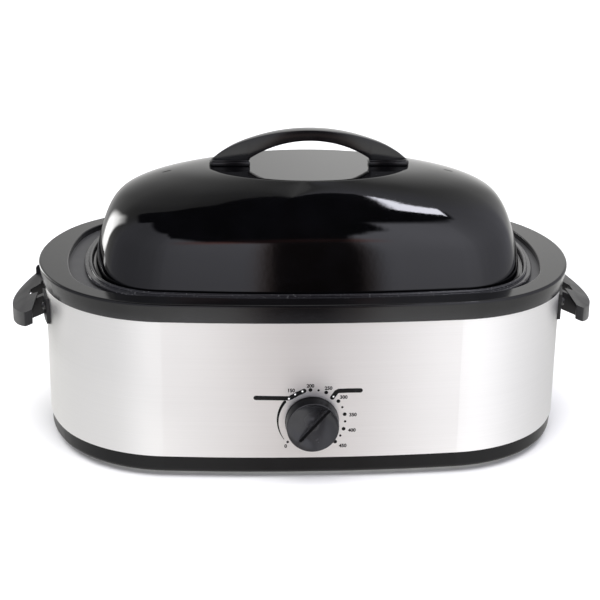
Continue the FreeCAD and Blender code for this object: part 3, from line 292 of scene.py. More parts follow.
def brushed_wall():
    """Stainless sheet with a fine horizontal grain, the streaks run round the wall."""
    m = Mat("brushed_stainless", (0.88, 0.872, 0.86), 0.44, metallic=1.0, aniso=0.68)
    m.b.inputs["Anisotropic Rotation"].default_value = 0.25
    tan = m.node("ShaderNodeTangent", direction_type="RADIAL", axis="Z")
    m.t.links.new(tan.outputs["Tangent"], m.b.inputs["Tangent"])
    fine = m.noise(m.space((9, 9, 5200)), 1.0, 3.0, 0.6)
    mid = m.noise(m.space((5, 5, 1500)), 1.0, 4.0, 0.6)
    broad = m.noise(m.space((2.2, 2.2, 90)), 1.0, 2.0, 0.5)
    smear = m.noise(m.space((7, 7, 7)), 1.0, 5.0, 0.55, 0.4)
    tone = m.calc("ADD", m.calc("MULTIPLY", fine, 0.6), m.calc("ADD", m.calc("MULTIPLY", mid, 0.32), m.calc("MULTIPLY", broad, 0.08)))
    m.color(m.mix(m.fit(tone, 0.36, 0.64, 0, 1), (0.862, 0.855, 0.842), (0.912, 0.905, 0.892)))
    m.rough(m.calc("ADD", m.fit(tone, 0.35, 0.65, 0.41, 0.46), m.fit(smear, 0.45, 0.7, 0.0, 0.04)))
    m.bump(fine, 0.12, 0.00005)
    m.bump(mid, 0.03, 0.00008)
    return m.m


def satin_paint(name="satin_black_paint", base=(0.022, 0.022, 0.024), rough=(0.34, 0.46), spec=0.5):
    """Satin black coating with the slight grain of a baked paint."""
    m = Mat(name, base, 0.4, spec=spec)
    grain = m.noise(m.space((1, 1, 1)), 2600, 3.0, 0.6)
    cloud = m.noise(m.space((1, 1, 1)), 26, 4.0, 0.55)
    dust = m.voronoi(m.space((1, 1, 1)), 420)
    c = m.mix(m.fit(cloud, 0.35, 0.7, 0, 1), base, tuple(v * 1.35 for v in base))
    c = m.mix(m.fit(dust, 0.0, 0.06, 0.10, 0.0), c, (0.10, 0.10, 0.10))
    m.color(m.edge_wear(c, (0.045, 0.045, 0.048)))
    m.rough(m.calc("ADD", m.fit(cloud, 0.3, 0.7, *rough), m.fit(grain, 0.3, 0.7, -0.02, 0.04)))
    m.bump(grain, 0.25, 0.00005)
    m.bump(cloud, 0.05, 0.0006)
    return m.m


def gloss_enamel():
    """Deep black vitreous enamel: a mirror with a faint orange peel and a few dust specks."""
    m = Mat("gloss_black_enamel", (0.004, 0.004, 0.005), 0.05, ior=1.52, spec=0.5)
    peel = m.noise(m.space((1, 1, 1)), 210, 2.0, 0.5)
    wave = m.noise(m.space((1, 1, 1)), 34, 2.0, 0.5)
    fine = m.noise(m.space((1, 1, 1)), 1900, 3.0, 0.6)
    speck = m.voronoi(m.space((1, 1, 1)), 300)
    c = m.mix(m.fit(wave, 0.35, 0.7, 0, 1), (0.0008, 0.0008, 0.0010), (0.0014, 0.0014, 0.0018))
    m.color(m.mix(m.fit(speck, 0.0, 0.03, 0.3, 0.0), c, (0.03, 0.03, 0.033)))
    m.rough(m.calc("ADD", m.fit(peel, 0.3, 0.7, 0.025, 0.05), m.fit(fine, 0.3, 0.7, 0.0, 0.02)))
    m.bump(peel, 0.035, 0.0004)
    m.bump(fine, 0.03, 0.00006)
    return m.m


def speckled_enamel():
    """Black vitreous enamel of the pan, with the fine pale speckle of granite ware."""
    m = Mat("speckled_enamel", (0.012, 0.012, 0.014), 0.12, ior=1.52)
    s1 = m.voronoi(m.space((1, 1, 1)), 520)
    s2 = m.voronoi(m.space((1, 1, 1), (3.1, 1.7, 0.4)), 250)
    sparse = m.noise(m.space((1, 1, 1)), 90, 2.0, 0.5)
    peel = m.noise(m.space((1, 1, 1)), 300, 2.0, 0.5)
    f = m.calc("MULTIPLY", m.fit(s1, 0.10, 0.20, 0.55, 0.0), m.fit(sparse, 0.42, 0.6, 0.1, 1.0))
    c = m.mix(f, (0.010, 0.010, 0.012), (0.30, 0.30, 0.31))
    c = m.mix(m.fit(s2, 0.05, 0.10, 0.6, 0.0), c, (0.42, 0.42, 0.43))
    m.color(c)
    m.rough(m.fit(peel, 0.3, 0.7, 0.10, 0.18))
    m.bump(peel, 0.08, 0.0003)
    return m.m


def moulded(name, base, rough=(0.42, 0.56), grain=1500, strength=0.30, wear=(0.10, 0.10, 0.105), spec=0.5):
    """Moulded plastic with a spark-eroded texture and rubbed edges."""
    m = Mat(name, base, 0.5, spec=spec)
    g = m.noise(m.space((1, 1, 1)), grain, 3.0, 0.6)
    v = m.voronoi(m.space((1, 1, 1)), grain * 0.55)
    cloud = m.noise(m.space((1, 1, 1)), 45, 4.0, 0.5)
    c = m.mix(m.fit(cloud, 0.35, 0.7, 0, 1), base, tuple(min(1, x * 1.3) for x in base))
    m.color(m.edge_wear(c, wear) if wear else c)
    m.rough(m.fit(cloud, 0.3, 0.7, *rough))
    m.bump(g, strength, 0.00005)
    m.bump(v, strength * 0.4, 0.00005)
    return m.m


def sheet_steel(name, base=(0.56, 0.56, 0.55), rough=(0.34, 0.5), spangle=True):
    """Aluminised or zinc-plated sheet with its spangle and rolling marks."""
    m = Mat(name, base, 0.4, metallic=1.0)
    v = m.node("ShaderNodeTexVoronoi")
    m.put(v, "Vector", m.space((1, 1, 1)))
    m.put(v, "Scale", 160 if spangle else 60)
    roll = m.noise(m.space((6, 380, 6)), 1.0, 3.0, 0.5)
    stain = m.noise(m.space((1, 1, 1)), 14, 5.0, 0.6)
    bw = m.node("ShaderNodeRGBToBW")
    m.t.links.new(v.outputs["Color"], bw.inputs["Color"])
    f = m.fit(bw.outputs["Val"], 0.2, 0.8, 0.0, 1.0)
    c = m.mix(f, tuple(x * 0.86 for x in base), tuple(min(1, x * 1.12) for x in base))
    m.color(m.mix(m.fit(stain, 0.5, 0.8, 0.0, 0.5), c, tuple(x * 0.72 for x in base)))
    m.rough(m.calc("ADD", m.fit(f, 0, 1, *rough), m.fit(roll, 0.3, 0.7, -0.03, 0.03)))
    m.bump(roll, 0.06, 0.0001)
    return m.m


def bright_plate(name, base=(0.78, 0.78, 0.77), rough=(0.10, 0.2)):
    """Bright plated wire or turned metal with hairline marks."""
    m = Mat(name, base, 0.15, metallic=1.0)
    hair = m.noise(m.space((40, 40, 1600)), 1.0, 3.0, 0.6)
    stain = m.noise(m.space((1, 1, 1)), 60, 4.0, 0.6)
    m.color(m.mix(m.fit(stain, 0.5, 0.8, 0, 0.4), base, tuple(x * 0.75 for x in base)))
    m.rough(m.calc("ADD", m.fit(stain, 0.3, 0.7, *rough), m.fit(hair, 0.3, 0.7, 0, 0.05)))
    m.bump(hair, 0.05, 0.00005)
    return m.m


def glass_fibre():
    m = Mat("glass_fibre_mat", (0.80, 0.77, 0.68), 0.95, spec=0.2)
    f1 = m.noise(m.space((60, 60, 900)), 1.0, 5.0, 0.65, 0.8)
    f2 = m.noise(m.space((900, 900, 60)), 1.0, 5.0, 0.65, 0.8)
    clump = m.noise(m.space((1, 1, 1)), 40, 4.0, 0.6)
    h = m.calc("MAXIMUM", f1, f2)
    m.color(m.mix(m.fit(h, 0.45, 0.7, 0, 1), (0.62, 0.57, 0.46), (0.90, 0.88, 0.80)))
    m.rough(m.fit(clump, 0.3, 0.7, 0.85, 1.0))
    m.bump(h, 0.8, 0.0006)
    m.bump(clump, 0.5, 0.002)
    return m.m


def rubber():
    m = Mat("foot_rubber", (0.035, 0.035, 0.036), 0.75, spec=0.4)
    g = m.noise(m.space((1, 1, 1)), 900, 4.0, 0.6)
    d = m.noise(m.space((1, 1, 1)), 70, 5.0, 0.6)
    m.color(m.mix(m.fit(d, 0.5, 0.8, 0, 0.5), (0.030, 0.030, 0.031), (0.10, 0.095, 0.09)))
    m.rough(m.fit(g, 0.3, 0.7, 0.65, 0.85))
    m.bump(g, 0.3, 0.0001)
    return m.m


def braided_sleeve():
    m = Mat("braided_sleeve", (0.72, 0.70, 0.64), 0.8, spec=0.3)
    w = m.node("ShaderNodeTexWave", wave_type="BANDS", bands_direction="DIAGONAL")
    m.put(w, "Vector", m.space((1, 1, 1)))
    m.put(w, "Scale", 420)
    m.put(w, "Distortion", 1.0)
    w2 = m.node("ShaderNodeTexWave", wave_type="BANDS", bands_direction="DIAGONAL")
    m.put(w2, "Vector", m.space((-1, 1, 1)))
    m.put(w2, "Scale", 420)
    h = m.calc("MAXIMUM", w.outputs["Fac"], w2.outputs["Fac"])
    m.color(m.mix(m.fit(h, 0.2, 0.9, 0, 1), (0.42, 0.40, 0.34), (0.80, 0.78, 0.72)))
    m.rough(m.fit(h, 0, 1, 0.7, 0.9))
    m.bump(h, 0.6, 0.0002)
    return m.m


def ink(name, base, rough=0.5):
    """Screen-printed ink: a little uneven at its edges and in its gloss."""
    m = Mat(name, base, rough, spec=0.15)
    g = m.noise(m.space((1, 1, 1)), 1400, 3.0, 0.6)
    d = m.noise(m.space((1, 1, 1)), 220, 3.0, 0.5)
    m.color(m.mix(m.fit(d, 0.4, 0.75, 0, 1), base, tuple(min(1, v * 1.25 + 0.004) for v in base)))
    m.rough(m.fit(g, 0.3, 0.7, rough - 0.06, rough + 0.08))
    m.bump(g, 0.15, 0.00003)
    return m.m


MATERIAL = {
    "steel_wrap": brushed_wall(),
    "satin_black": satin_paint(base=(0.0028, 0.0028, 0.0032), rough=(0.085, 0.14), spec=0.40),
    "well_coating": satin_paint("well_coating", (0.030, 0.030, 0.032), (0.40, 0.52)),
    "black_enamel": gloss_enamel(),
    "speckled_enamel": speckled_enamel(),
    "grey_steel": sheet_steel("aluminised_sheet"),
    "moulded_black": moulded("moulded_black", (0.0035, 0.0035, 0.0042), rough=(0.10, 0.17), strength=0.09, wear=None),
    "knob_black": moulded("knob_black", (0.021, 0.021, 0.0228), rough=(0.2, 0.3), grain=1900, strength=0.06, wear=None, spec=0.38),
    "bright_wire": bright_plate("bright_wire"),
    "zinc": sheet_steel("zinc_plate", (0.64, 0.635, 0.61), (0.28, 0.42), False),
    "glass_fibre": glass_fibre(),
    "foot_rubber": rubber(),
    "ceramic_brown": moulded("phenolic_brown", (0.12, 0.065, 0.04), grain=900, wear=(0.2, 0.13, 0.09)),
    "brass_plated": bright_plate("plated_brass", (0.70, 0.55, 0.30), (0.2, 0.32)),
    "lead_sleeve": braided_sleeve(),
    "cream_block": moulded("cream_moulding", (0.62, 0.58, 0.48), grain=900, wear=(0.75, 0.72, 0.62)),
}
SLOT_OF = {s["node"]: s["material_slot"] for s in frame["record"]["subparts"]}
MATERIAL["handle_black"] = moulded("handle_black", (0.006, 0.006, 0.007), rough=(0.30, 0.42), strength=0.22, wear=None, spec=0.34)
# a near-black copy of the knob's black: painted shade on the knob's side band and on the top of its grip bar
MATERIAL["knob_painted_shade"] = moulded("knob_painted_shade", (0.0022, 0.0022, 0.0026), rough=(0.30, 0.40), grain=1900, strength=0.06, wear=None, spec=0.05)
# the handle screws get a far darker, rougher plated metal than the zinc slot gives
MATERIAL["darkened_zinc"] = bright_plate("darkened_zinc", (0.13, 0.13, 0.13), (0.36, 0.48))
LOOK = {"base_tray": "tray_black", "handle_screws": "darkened_zinc"}
MATERIAL["tray_black"] = satin_paint("tray_black", (0.0028, 0.0028, 0.0032), (0.26, 0.36), 0.22)
for name, ob in NODES.items():
    ob.data.materials.clear()
    ob.data.materials.append(MATERIAL[LOOK.get(name, SLOT_OF[name])])


# ------------------------------------------------------------------ lid
def spline(xs, ys, q):
    """Natural cubic spline through xs, ys, read at q."""
    n = len(xs)
    h = np.diff(xs)
    A = np.zeros((n, n))
    r = np.zeros(n)
    A[0, 0] = A[-1, -1] = 1
    for i in range(1, n - 1):
        A[i, i - 1], A[i, i], A[i, i + 1] = h[i - 1], 2 * (h[i - 1] + h[i]), h[i]
        r[i] = 6 * ((ys[i + 1] - ys[i]) / h[i] - (ys[i] - ys[i - 1]) / h[i - 1])
    m = np.linalg.solve(A, r)
    k = np.clip(np.searchsorted(xs, q) - 1, 0, n - 2)
    t0, t1 = xs[k + 1] - q, q - xs[k]
    return (m[k] * t0 ** 3 + m[k + 1] * t1 ** 3) / (6 * h[k]) + (ys[k] / h[k] - m[k] * h[k] / 6) * t0 + (ys[k + 1] / h[k] - m[k + 1] * h[k] / 6) * t1


LID = np.array([
    (179.4, 217.5, 129.0), (192.0, 215.2, 127.0), (207.0, 211.7, 123.5), (218.0, 208.3, 120.2), (229.0, 204.1, 115.7),
    (240.0, 198.1, 108.4), (250.0, 188.8, 98.5), (258.0, 175.3, 88.9), (264.0, 160.4, 81.3), (268.0, 146.8, 75.8),
    (271.5, 130.8, 70.6), (275.4, 101.4, 65.0)])
LID_X, TOP_Z = 3.4, 275.4
LEVELS, PER_ARC = 132, 26


def dome_grid(drop=0.0):
    """Points of the dome's outer face, or of one lying drop millimetres inside it. Rows run from the rim to the top.
    The sheet climbs to the edge of a flat oval top, and the bend there has a soft radius."""
    seg = np.sqrt(np.diff(LID[:, 0]) ** 2 + (np.diff(LID[:, 1]) ** 2 + np.diff(LID[:, 2]) ** 2) / 2)
    s = np.concatenate([[0], np.cumsum(seg)])
    edge = s[-1]
    inner = math.sqrt((101.4 ** 2 + 65.0 ** 2) / 2)
    fine = np.arange(0, edge + inner, 0.25)
    cols = []
    for i in range(3):
        v = spline(s, LID[:, i], np.minimum(fine, edge))
        if i:
            v = v * np.clip((edge + inner - fine) / inner, 0, 1) ** (fine > edge)
        else:
            v = np.where(fine > edge, TOP_Z, v)
        cols.append(v)
    # running mean, twice, along the section: the bend's radius
    w = 23
    ker = np.ones(w) / w
    soft = []
    for i, v in enumerate(cols):
        t = v
        for _ in range(2):
            lead = 2 * t[0] - t[w:0:-1]
            tail = (2 * t[-1] - t[-2:-w - 2:-1]) if i else t[-2:-w - 2:-1]
            t = np.convolve(np.concatenate([lead, t, tail]), ker, "same")[w:-w]
        soft.append(t)
    total = edge + inner - 0.25
    # rows crowd where the section bends
    q = np.concatenate([np.linspace(0, edge - 14, 84, endpoint=False), np.linspace(edge - 14, edge + 12, 34, endpoint=False), np.linspace(edge + 12, total, LEVELS - 117)])
    z, a, b = (np.interp(q, fine, v) for v in soft)
    a[-1] = b[-1] = 0.0
    base = oval_loop(217.5, 129.0, 1134.5, 244.5, 72.5, PER_ARC)
    xr, yr = base[:, 0] / 217.5, base[:, 1] / 129.0
    phi = np.arctan2(yr, xr)
    rho = np.hypot(xr, yr)
    t = np.clip((q / edge - 0.27) / 0.73, 0, 1) ** 0.87
    w = t * t * (3 - 2 * t)
    rr = rho[None, :] * (1 - w[:, None]) + w[:, None]
    P = np.stack([a[:, None] * rr * np.cos(phi), b[:, None] * rr * np.sin(phi), np.repeat(z[:, None], len(phi), 1)], 2)
    du = np.roll(P, -1, 1) - np.roll(P, 1, 1)
    dv = np.gradient(P, axis=0)
    dv[-1] = dv[-2]
    n = np.cross(du, dv)
    ln = np.linalg.norm(n, axis=2, keepdims=True)
    n = np.where(ln > 1e-9, n / np.maximum(ln, 1e-9), np.array([0, 0, 1.0]))
    n[-1] = (0, 0, 1)
    P = P - n * drop
    P[..., 0] += LID_X
    return P, n


def build_lid():
    P, N = dome_grid()
    Q, _ = dome_grid(0.9)
    rows, cols = P.shape[:2]
    verts, faces = [], []

    def add(grid, flip):
        base = len(verts)
        for r in range(rows - 1):
            verts.extend(grid[r] * MM)
        tip = len(verts)
        verts.append(grid[rows - 1, 0] * MM)
        for r in range(rows - 2):
            for c in range(cols):
                d = (c + 1) % cols
                f = (base + r * cols + c, base + r * cols + d, base + (r + 1) * cols + d, base + (r + 1) * cols + c)
                faces.append(f[::-1] if flip else f)
        for c in range(cols):
            d = (c + 1) % cols
            f = (base + (rows - 2) * cols + c, base + (rows - 2) * cols + d, tip)
            faces.append(f[::-1] if flip else f)
        return base

    b0 = add(P, False)
    b1 = add(Q, True)
    # rolled rim: an arc under the sheet joins the outer and inner faces
    ring = []
    n = 14
    loop = oval_loop(217.5, 129.0, 1134.5, 244.5, 72.5, PER_ARC)
    for j in range(1, n):
        u = math.radians(25 - 300 * j / n)
        dx, dz = 1.75 * math.cos(u) - 0.35, 1.75 * math.sin(u)
        base = len(verts)
        for c in range(cols):
            verts.append(((loop[c, 0] + LID_X + loop[c, 2] * dx) * MM, (loop[c, 1] + loop[c, 3] * dx) * MM, (179.45 + dz) * MM))
        ring.append(base)
    chain = [b0] + ring + [b1]
    for k in range(len(chain) - 1):
        for c in range(cols):
            d = (c + 1) % cols
            faces.append((chain[k] + d, chain[k] + c, chain[k + 1] + c, chain[k + 1] + d))
    ob = new_object("lid_enamel_dome", verts, faces, MATERIAL["black_enamel"], smooth=55)
    return ob


lid = build_lid()
for sx in (1, -1):
    # steam slot: a short formed slit near each end
    bm = bmesh.new()
    pts = []
    for k in range(24):
        u = 2 * PI * k / 24
        cx = 3.2 if math.cos(u) > 0 else -3.2
        pts.append((LID_X + sx * 143.6 + cx + 1.3 * math.cos(u), 1.3 * math.sin(u)))
    lo = [bm.verts.new((x * MM, y * MM, 0.262)) for x, y in pts]
    hi = [bm.verts.new((x * MM, y * MM, 0.276)) for x, y in pts]
    bm.faces.new(lo[::-1])
    bm.faces.new(hi)
    for k in range(24):
        j = (k + 1) % 24
        bm.faces.new((lo[k], lo[j], hi[j], hi[k]))
    me = bpy.data.meshes.new("slot_tool")
    bm.to_mesh(me)
    bm.free()
    tool = bpy.data.objects.new("slot_tool", me)
    COLL.objects.link(tool)
    boolean(lid, tool)
lid.data.shade_smooth()
lid.data.set_sharp_from_angle(angle=math.radians(50))
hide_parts("lid_dome")
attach(lid, "lid")


# ------------------------------------------------------------------ lid handle
def prism_y(name, outline, y0, y1, material, width=0.8, segments=3, angle=28):
    """A flat outline in X and Z, given in millimetres, made thick along Y, with rounded edges."""
    n = len(outline)
    verts = [(x * MM, y0 * MM, z * MM) for x, z in outline] + [(x * MM, y1 * MM, z * MM) for x, z in outline]
    faces = [tuple(range(n)), tuple(range(2 * n - 1, n - 1, -1))]
    for i in range(n):
        j = (i + 1) % n
        faces.append((i, i + n, j + n, j))
    ob = new_object(name, verts, faces, material, smooth=None)
    recalc(ob)
    if width:
        bevel(ob, width * MM, segments, angle)
    return ob


def curve_points(knots, n):
    """A smooth line through the knots, (x, z) in millimetres."""
    k = np.array(knots, float)
    s = np.concatenate([[0], np.cumsum(np.hypot(*np.diff(k, axis=0).T))])
    q = np.linspace(0, s[-1], n)
    return list(zip(spline(s, k[:, 0], q), spline(s, k[:, 1], q)))


HX = 4.2
half = [(0, 312.3), (37, 308.7), (60, 302.7), (73.7, 297.6), (83.8, 292.4), (92.6, 286.6), (99.3, 281.0)]
outer = curve_points([(-x, z) for x, z in half[::-1]] + half[1:], 72)
RI, IN_Z = 108.0, 301.4
inner = []
for i in range(49):
    x = -60.4 + 120.8 * i / 48
    inner.append((x, IN_Z - (RI - math.sqrt(RI * RI - x * x))))
arch = [(HX + x, z) for x, z in outer] + [(HX + 60.4, 281.0)] + [(HX + x, z) for x, z in inner[::-1]] + [(HX - 60.4, 281.0)]
grip = prism_y("handle_arch", arch, -7.6, 7.6, MATERIAL["moulded_black"], 0.9, 4)
bm = bmesh.new()
bm.from_mesh(grip.data)
for k in range(-96, 97, 4):
    bmesh.ops.bisect_plane(bm, geom=bm.verts[:] + bm.edges[:] + bm.faces[:], plane_co=((HX + k) * MM, 0, 0), plane_no=(1, 0, 0), dist=1e-7)
for v in bm.verts:
    # seen from above both sides are bowed, so the ends are narrow
    d = (v.co.x / MM - HX) ** 2 / 1450.0 * MM
    v.co.y = math.copysign(max(abs(v.co.y) * (1 - d / (7.6 * MM)), 0.0), v.co.y)
bm.to_mesh(grip.data)
bm.free()
grip.data.shade_smooth()
grip.data.set_sharp_from_angle(angle=math.radians(40))
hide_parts("lid_handle")
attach(grip, "lid")
for k, sx in enumerate((1, -1)):
    def foot(x0, x1, z0, z1, dy, name, w):
        pts = []
        for j in range(13):
            u = -PI / 2 + PI * j / 12
            pts.append((x1 - 5.0 + 5.0 * math.cos(u), dy * math.sin(u)))
        pts = [(x0, -dy)] + pts + [(x0, dy)]
        verts = [((HX + sx * x) * MM, y * MM, z0 * MM) for x, y in pts] + [((HX + sx * x) * MM, y * MM, z1 * MM) for x, y in pts]
        n = len(pts)
        faces = [tuple(range(n)), tuple(range(2 * n - 1, n - 1, -1))] + [(i, i + n, (i + 1) % n + n, (i + 1) % n) for i in range(n)]
        ob = new_object(name, verts, faces, MATERIAL["moulded_black"], smooth=None)
        recalc(ob)
        bevel(ob, w * MM, 3, 30)
        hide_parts("lid_handle")
        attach(ob, "lid")
        return ob
    foot(61.4, 99.4, 279.6, 281.4, 6.7, "handle_neck_%d" % k, 0.2)
    foot(60.2, 101.6, 275.38, 280.0, 7.9, "handle_foot_%d" % k, 1.0)


# ------------------------------------------------------------------ knob
KZ, KR, KF, KB = 62.5, 26.0, -176.2, -160.2
BAR = math.radians(90 - 41.0)


FACE_R, FIN = 24.2, 1.5


def on_bar(x, z):
    """Place along and across the grip bar, in millimetres from the axis."""
    return x * math.cos(BAR) + z * math.sin(BAR), -x * math.sin(BAR) + z * math.cos(BAR)


def knob_depth(x, z):
    """How deep the front face lies below its rim plane, in millimetres, at a point measured from the axis."""
    u, v = on_bar(x, z)
    r = math.hypot(u, v)
    t = min(1.0, max(0.0, (u + 21.0) / 43.0))
    lim = math.sqrt(max(FACE_R ** 2 - u * u, 0.01))
    span = max(lim - FIN, 0.6)
    if abs(v) >= lim or r >= FACE_R:
        return 0.0
    reach = (abs(v) - FIN) / span
    if reach <= 0:
        return 0.0
    wall = min(1.0, reach * span / 1.1)
    wall = wall * wall * (3 - 2 * wall)
    deep = 2.2 + 9.0 * (t * t * (3 - 2 * t)) ** 1.1 * (1.0 if v > 0 else 0.62)
    fall = (1 - reach ** 1.7) ** 0.9
    ends = max(1 - (abs(u) / FACE_R) ** 8, 0.0)
    low = min(1.0, max(0.0, (u + 22.5) / 10.5))
    d = deep * wall * fall * ends * low * low * (3 - 2 * low)
    if d <= 0.01:
        return 0.0
    # the dish stays in front of the shaft's end
    boss = 2.7 + max(0.0, r - 3.2) * 2.2
    return (d ** -5 + boss ** -5) ** -0.2


def build_knob():
    n, rings = 288, 104
    verts, faces = [], []
    # section of the body from the back edge to the front rim
    body = [(KB, 23.2), (KB, 25.4), (KB - 0.25, 25.85), (KB - 0.7, 26.0), (KB - 2.2, 26.0), (KB - 2.6, 25.75), (KB - 3.1, 25.68)]
    for i in range(1, 9):
        body.append((KB - 3.1 - 12.2 * i / 8, 25.68 - 0.55 * i / 8))
    for i in range(1, 9):
        u = PI / 2 * i / 8
        body.append((KF + 0.7 - 0.7 * math.sin(u), 24.43 + 0.7 * math.cos(u)))
    base = 0
    for y, r in body:
        for k in range(n):
            a = 2 * PI * k / n
            verts.append((r * math.cos(a), y, r * math.sin(a)))
    rows = [(r, True) for r in np.linspace(24.3, 1.4, rings)]
    for r, _ in rows:
        for k in range(n):
            a = 2 * PI * k / n
            x, z = r * math.cos(a), r * math.sin(a)
            verts.append((x, KF + knob_depth(x, z), z))
    tip = len(verts)
    verts.append((0, KF + knob_depth(0, 0), 0))
    total = len(body) + rings
    for i in range(total - 1):
        for k in range(n):
            j = (k + 1) % n
            faces.append((i * n + k, i * n + j, (i + 1) * n + j, (i + 1) * n + k))
    last = (total - 1) * n
    for k in range(n):
        faces.append((last + k, last + (k + 1) % n, tip))
    # hollow back: an inner wall and a floor
    off = len(verts)
    inner = [(KB, 23.2), (KB - 4.3, 23.0)]
    for y, r in inner[1:]:
        for k in range(n):
            a = 2 * PI * k / n
            verts.append((r * math.cos(a), y, r * math.sin(a)))
    for k in range(n):
        j = (k + 1) % n
        faces.append((k, off + k, off + j, j))
    mid = len(verts)
    verts.append((0, KB - 4.3, 0))
    for k in range(n):
        faces.append((off + k, mid, off + (k + 1) % n))
    verts = [(x * MM, y * MM, (z + KZ) * MM) for x, y, z in verts]
    ob = new_object("dial_knob", verts, faces, MATERIAL["knob_black"], smooth=None)
    recalc(ob)
    # painted shade: faces of the side band and of the grip bar's top take the darker copy of the knob's black
    ob.data.materials.append(MATERIAL["knob_painted_shade"])
    for f in ob.data.polygons:
        x, z = f.center.x / MM, f.center.z / MM - KZ
        u, v = on_bar(x, z)
        side = f.center.y > (KF + 0.35) * MM and math.hypot(x, z) > 24.8
        if side or (abs(v) < FIN and u > -19.0 and f.center.y < (KF + 0.1) * MM and math.hypot(x, z) < FACE_R):
            f.material_index = 1
    ob.data.shade_smooth()
    ob.data.set_sharp_from_angle(angle=math.radians(42))
    return ob


knob = build_knob()
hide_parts("control_knob")
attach(knob, "knob")

# ------------------------------------------------------------------ printed scale round the knob
INK, WHITE_INK = ink("black_ink", (0.0035, 0.0035, 0.0035)), ink("white_ink", (0.80, 0.80, 0.79))


def wall_y(x, off):
    """The steel wall's face at x, raised by off, in millimetres."""
    return -(159.0 - (1536.5 - math.sqrt(1536.5 ** 2 - x * x)) + off)


def flat_print(name, outlines, material, off=0.05, thick=0.05):
    """Flat outlines, (x, z) from the dial's axis in millimetres, laid on the curved wall as a thin raised layer."""
    verts, faces = [], []
    for pts in outlines:
        n = len(pts)
        base = len(verts)
        cx, cz = sum(p[0] for p in pts) / n, sum(p[1] for p in pts) / n
        for layer in (0, 1):
            for x, z in pts:
                verts.append((x * MM, wall_y(x, off - thick * layer) * MM, (z + KZ) * MM))
        for i in range(n):
            j = (i + 1) % n
            faces.append((base + i, base + j, base + n + j, base + n + i))
        faces.append(tuple(range(base, base + n)))
    ob = new_object(name, verts, faces, material, smooth=None)
    bm = bmesh.new()
    bm.from_mesh(ob.data)
    bmesh.ops.triangulate(bm, faces=[f for f in bm.faces if len(f.verts) > 4])
    bmesh.ops.recalc_face_normals(bm, faces=bm.faces)
    bm.to_mesh(ob.data)
    bm.free()
    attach(ob, "housing")
    return ob


def disc(x, z, r, n=28):
    return [(x + r * math.cos(2 * PI * k / n), z + r * math.sin(2 * PI * k / n)) for k in range(n)]


def on_scale(deg, r=32.2):
    a = math.radians(90 - deg)
    return r * math.cos(a), r * math.sin(a)


def band(path, widths):
    """A strip of changing width with round ends along a path."""
    P = [Vector(q) for q in path]
    n = len(P)
    left, right_ = [], []
    for i in range(n):
        d = (P[min(i + 1, n - 1)] - P[max(i - 1, 0)]).normalized()
        m = Vector((-d.y, d.x))
        left.append(P[i] + m * widths[i])
        right_.append(P[i] - m * widths[i])
    out = []
    d0 = (P[0] - P[1]).normalized()
    d1 = (P[-1] - P[-2]).normalized()
    out += left
    for k in range(1, 8):
        a = PI / 2 - PI * k / 8
        m = Vector((-d1.y, d1.x))
        out.append(P[-1] + d1 * (widths[-1] * math.cos(a)) + m * (widths[-1] * math.sin(a)))
    out += right_[::-1]
    for k in range(1, 8):
        a = PI / 2 - PI * k / 8
        m = Vector((-d0.y, d0.x))
        out.append(P[0] + d0 * (widths[0] * math.cos(a)) + m * (widths[0] * math.sin(a)))
    return [(v.x, v.y) for v in out]


dots = [disc(*on_scale(-134), 1.25)]
for deg in (-3.3, 24.4, 51.6, 78.9, 106.5, 134.7):
    dots.append(disc(*on_scale(deg), 1.85))
for deg in (10.7, 65.0, 92.4, 120.4):
    dots.append(disc(*on_scale(deg), 1.15))
flat_print("scale_dots", dots, INK)
# tapered arc from the lowest mark up to the first bar
arc, wid = [], []
for i in range(25):
    t = i / 24
    deg = -126.0 + 73.0 * t
    arc.append(on_scale(deg, 33.0))
    wid.append(0.25 + 1.25 * t)
flat_print("scale_arc", [band(arc, wid)], INK)
bars = [[(-54.1, 24.1), (-38.0, 23.9), (-22.6, 23.6), (-20.6, 24.3), (-14.4, 28.1), (-7.9, 31.2)], [(19.3, 23.9), (20.7, 26.0), (23.2, 29.6), (25.0, 30.7), (34.0, 30.9), (46.3, 30.8)]]
flat_print("scale_bars", [band(q, [2.25] * len(q)) for q in bars], INK)
flat_print("scale_bar_dots", [disc(*on_scale(d), 0.95) for d in (-43.9, -30.9, -17.1, 39.4)], WHITE_INK, off=0.09, thick=0.05)


def number(text, x, z, size):
    cu = bpy.data.curves.new("num", "FONT")
    cu.body = text
    cu.size = size * 1.38 * MM
    cu.align_x = "CENTER"
    cu.align_y = "CENTER"
    cu.offset = 0.00020
    cu.resolution_u = 6
    tmp = bpy.data.objects.new("num", cu)
    COLL.objects.link(tmp)
    bpy.context.view_layer.update()
    me = bpy.data.meshes.new_from_object(tmp)
    bpy.data.objects.remove(tmp)
    ob = bpy.data.objects.new("scale_number_%s" % text, me)
    COLL.objects.link(ob)
    bm = bmesh.new()
    bm.from_mesh(me)
    bmesh.ops.remove_doubles(bm, verts=bm.verts, dist=1e-6)
    bmesh.ops.triangulate(bm, faces=bm.faces)
    r = bmesh.ops.extrude_face_region(bm, geom=bm.faces[:])
    top = [v for v in r["geom"] if isinstance(v, bmesh.types.BMVert)]
    top_set = set(top)
    for v in bm.verts:
        px, pz = v.co.x / MM + x, v.co.y / MM + z
        v.co = Vector((px * MM, wall_y(px, 0.05 if v in top_set else 0.0) * MM, (pz + KZ) * MM))
    bmesh.ops.recalc_face_normals(bm, faces=bm.faces)
    bm.to_mesh(me)
    bm.free()
    me.materials.clear()
    me.materials.append(INK)
    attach(ob, "housing")
    return ob


for text, x, z in (("150", -20.4, 31.5), ("200", -1.9, 36.2), ("250", 15.5, 33.6), ("300", 30.3, 24.0), ("350", 39.6, 5.4), ("400", 39.0, -10.9), ("450", 30.4, -27.2), ("0", -25.1, -26.9)):
    number(text, x, z, 3.5)


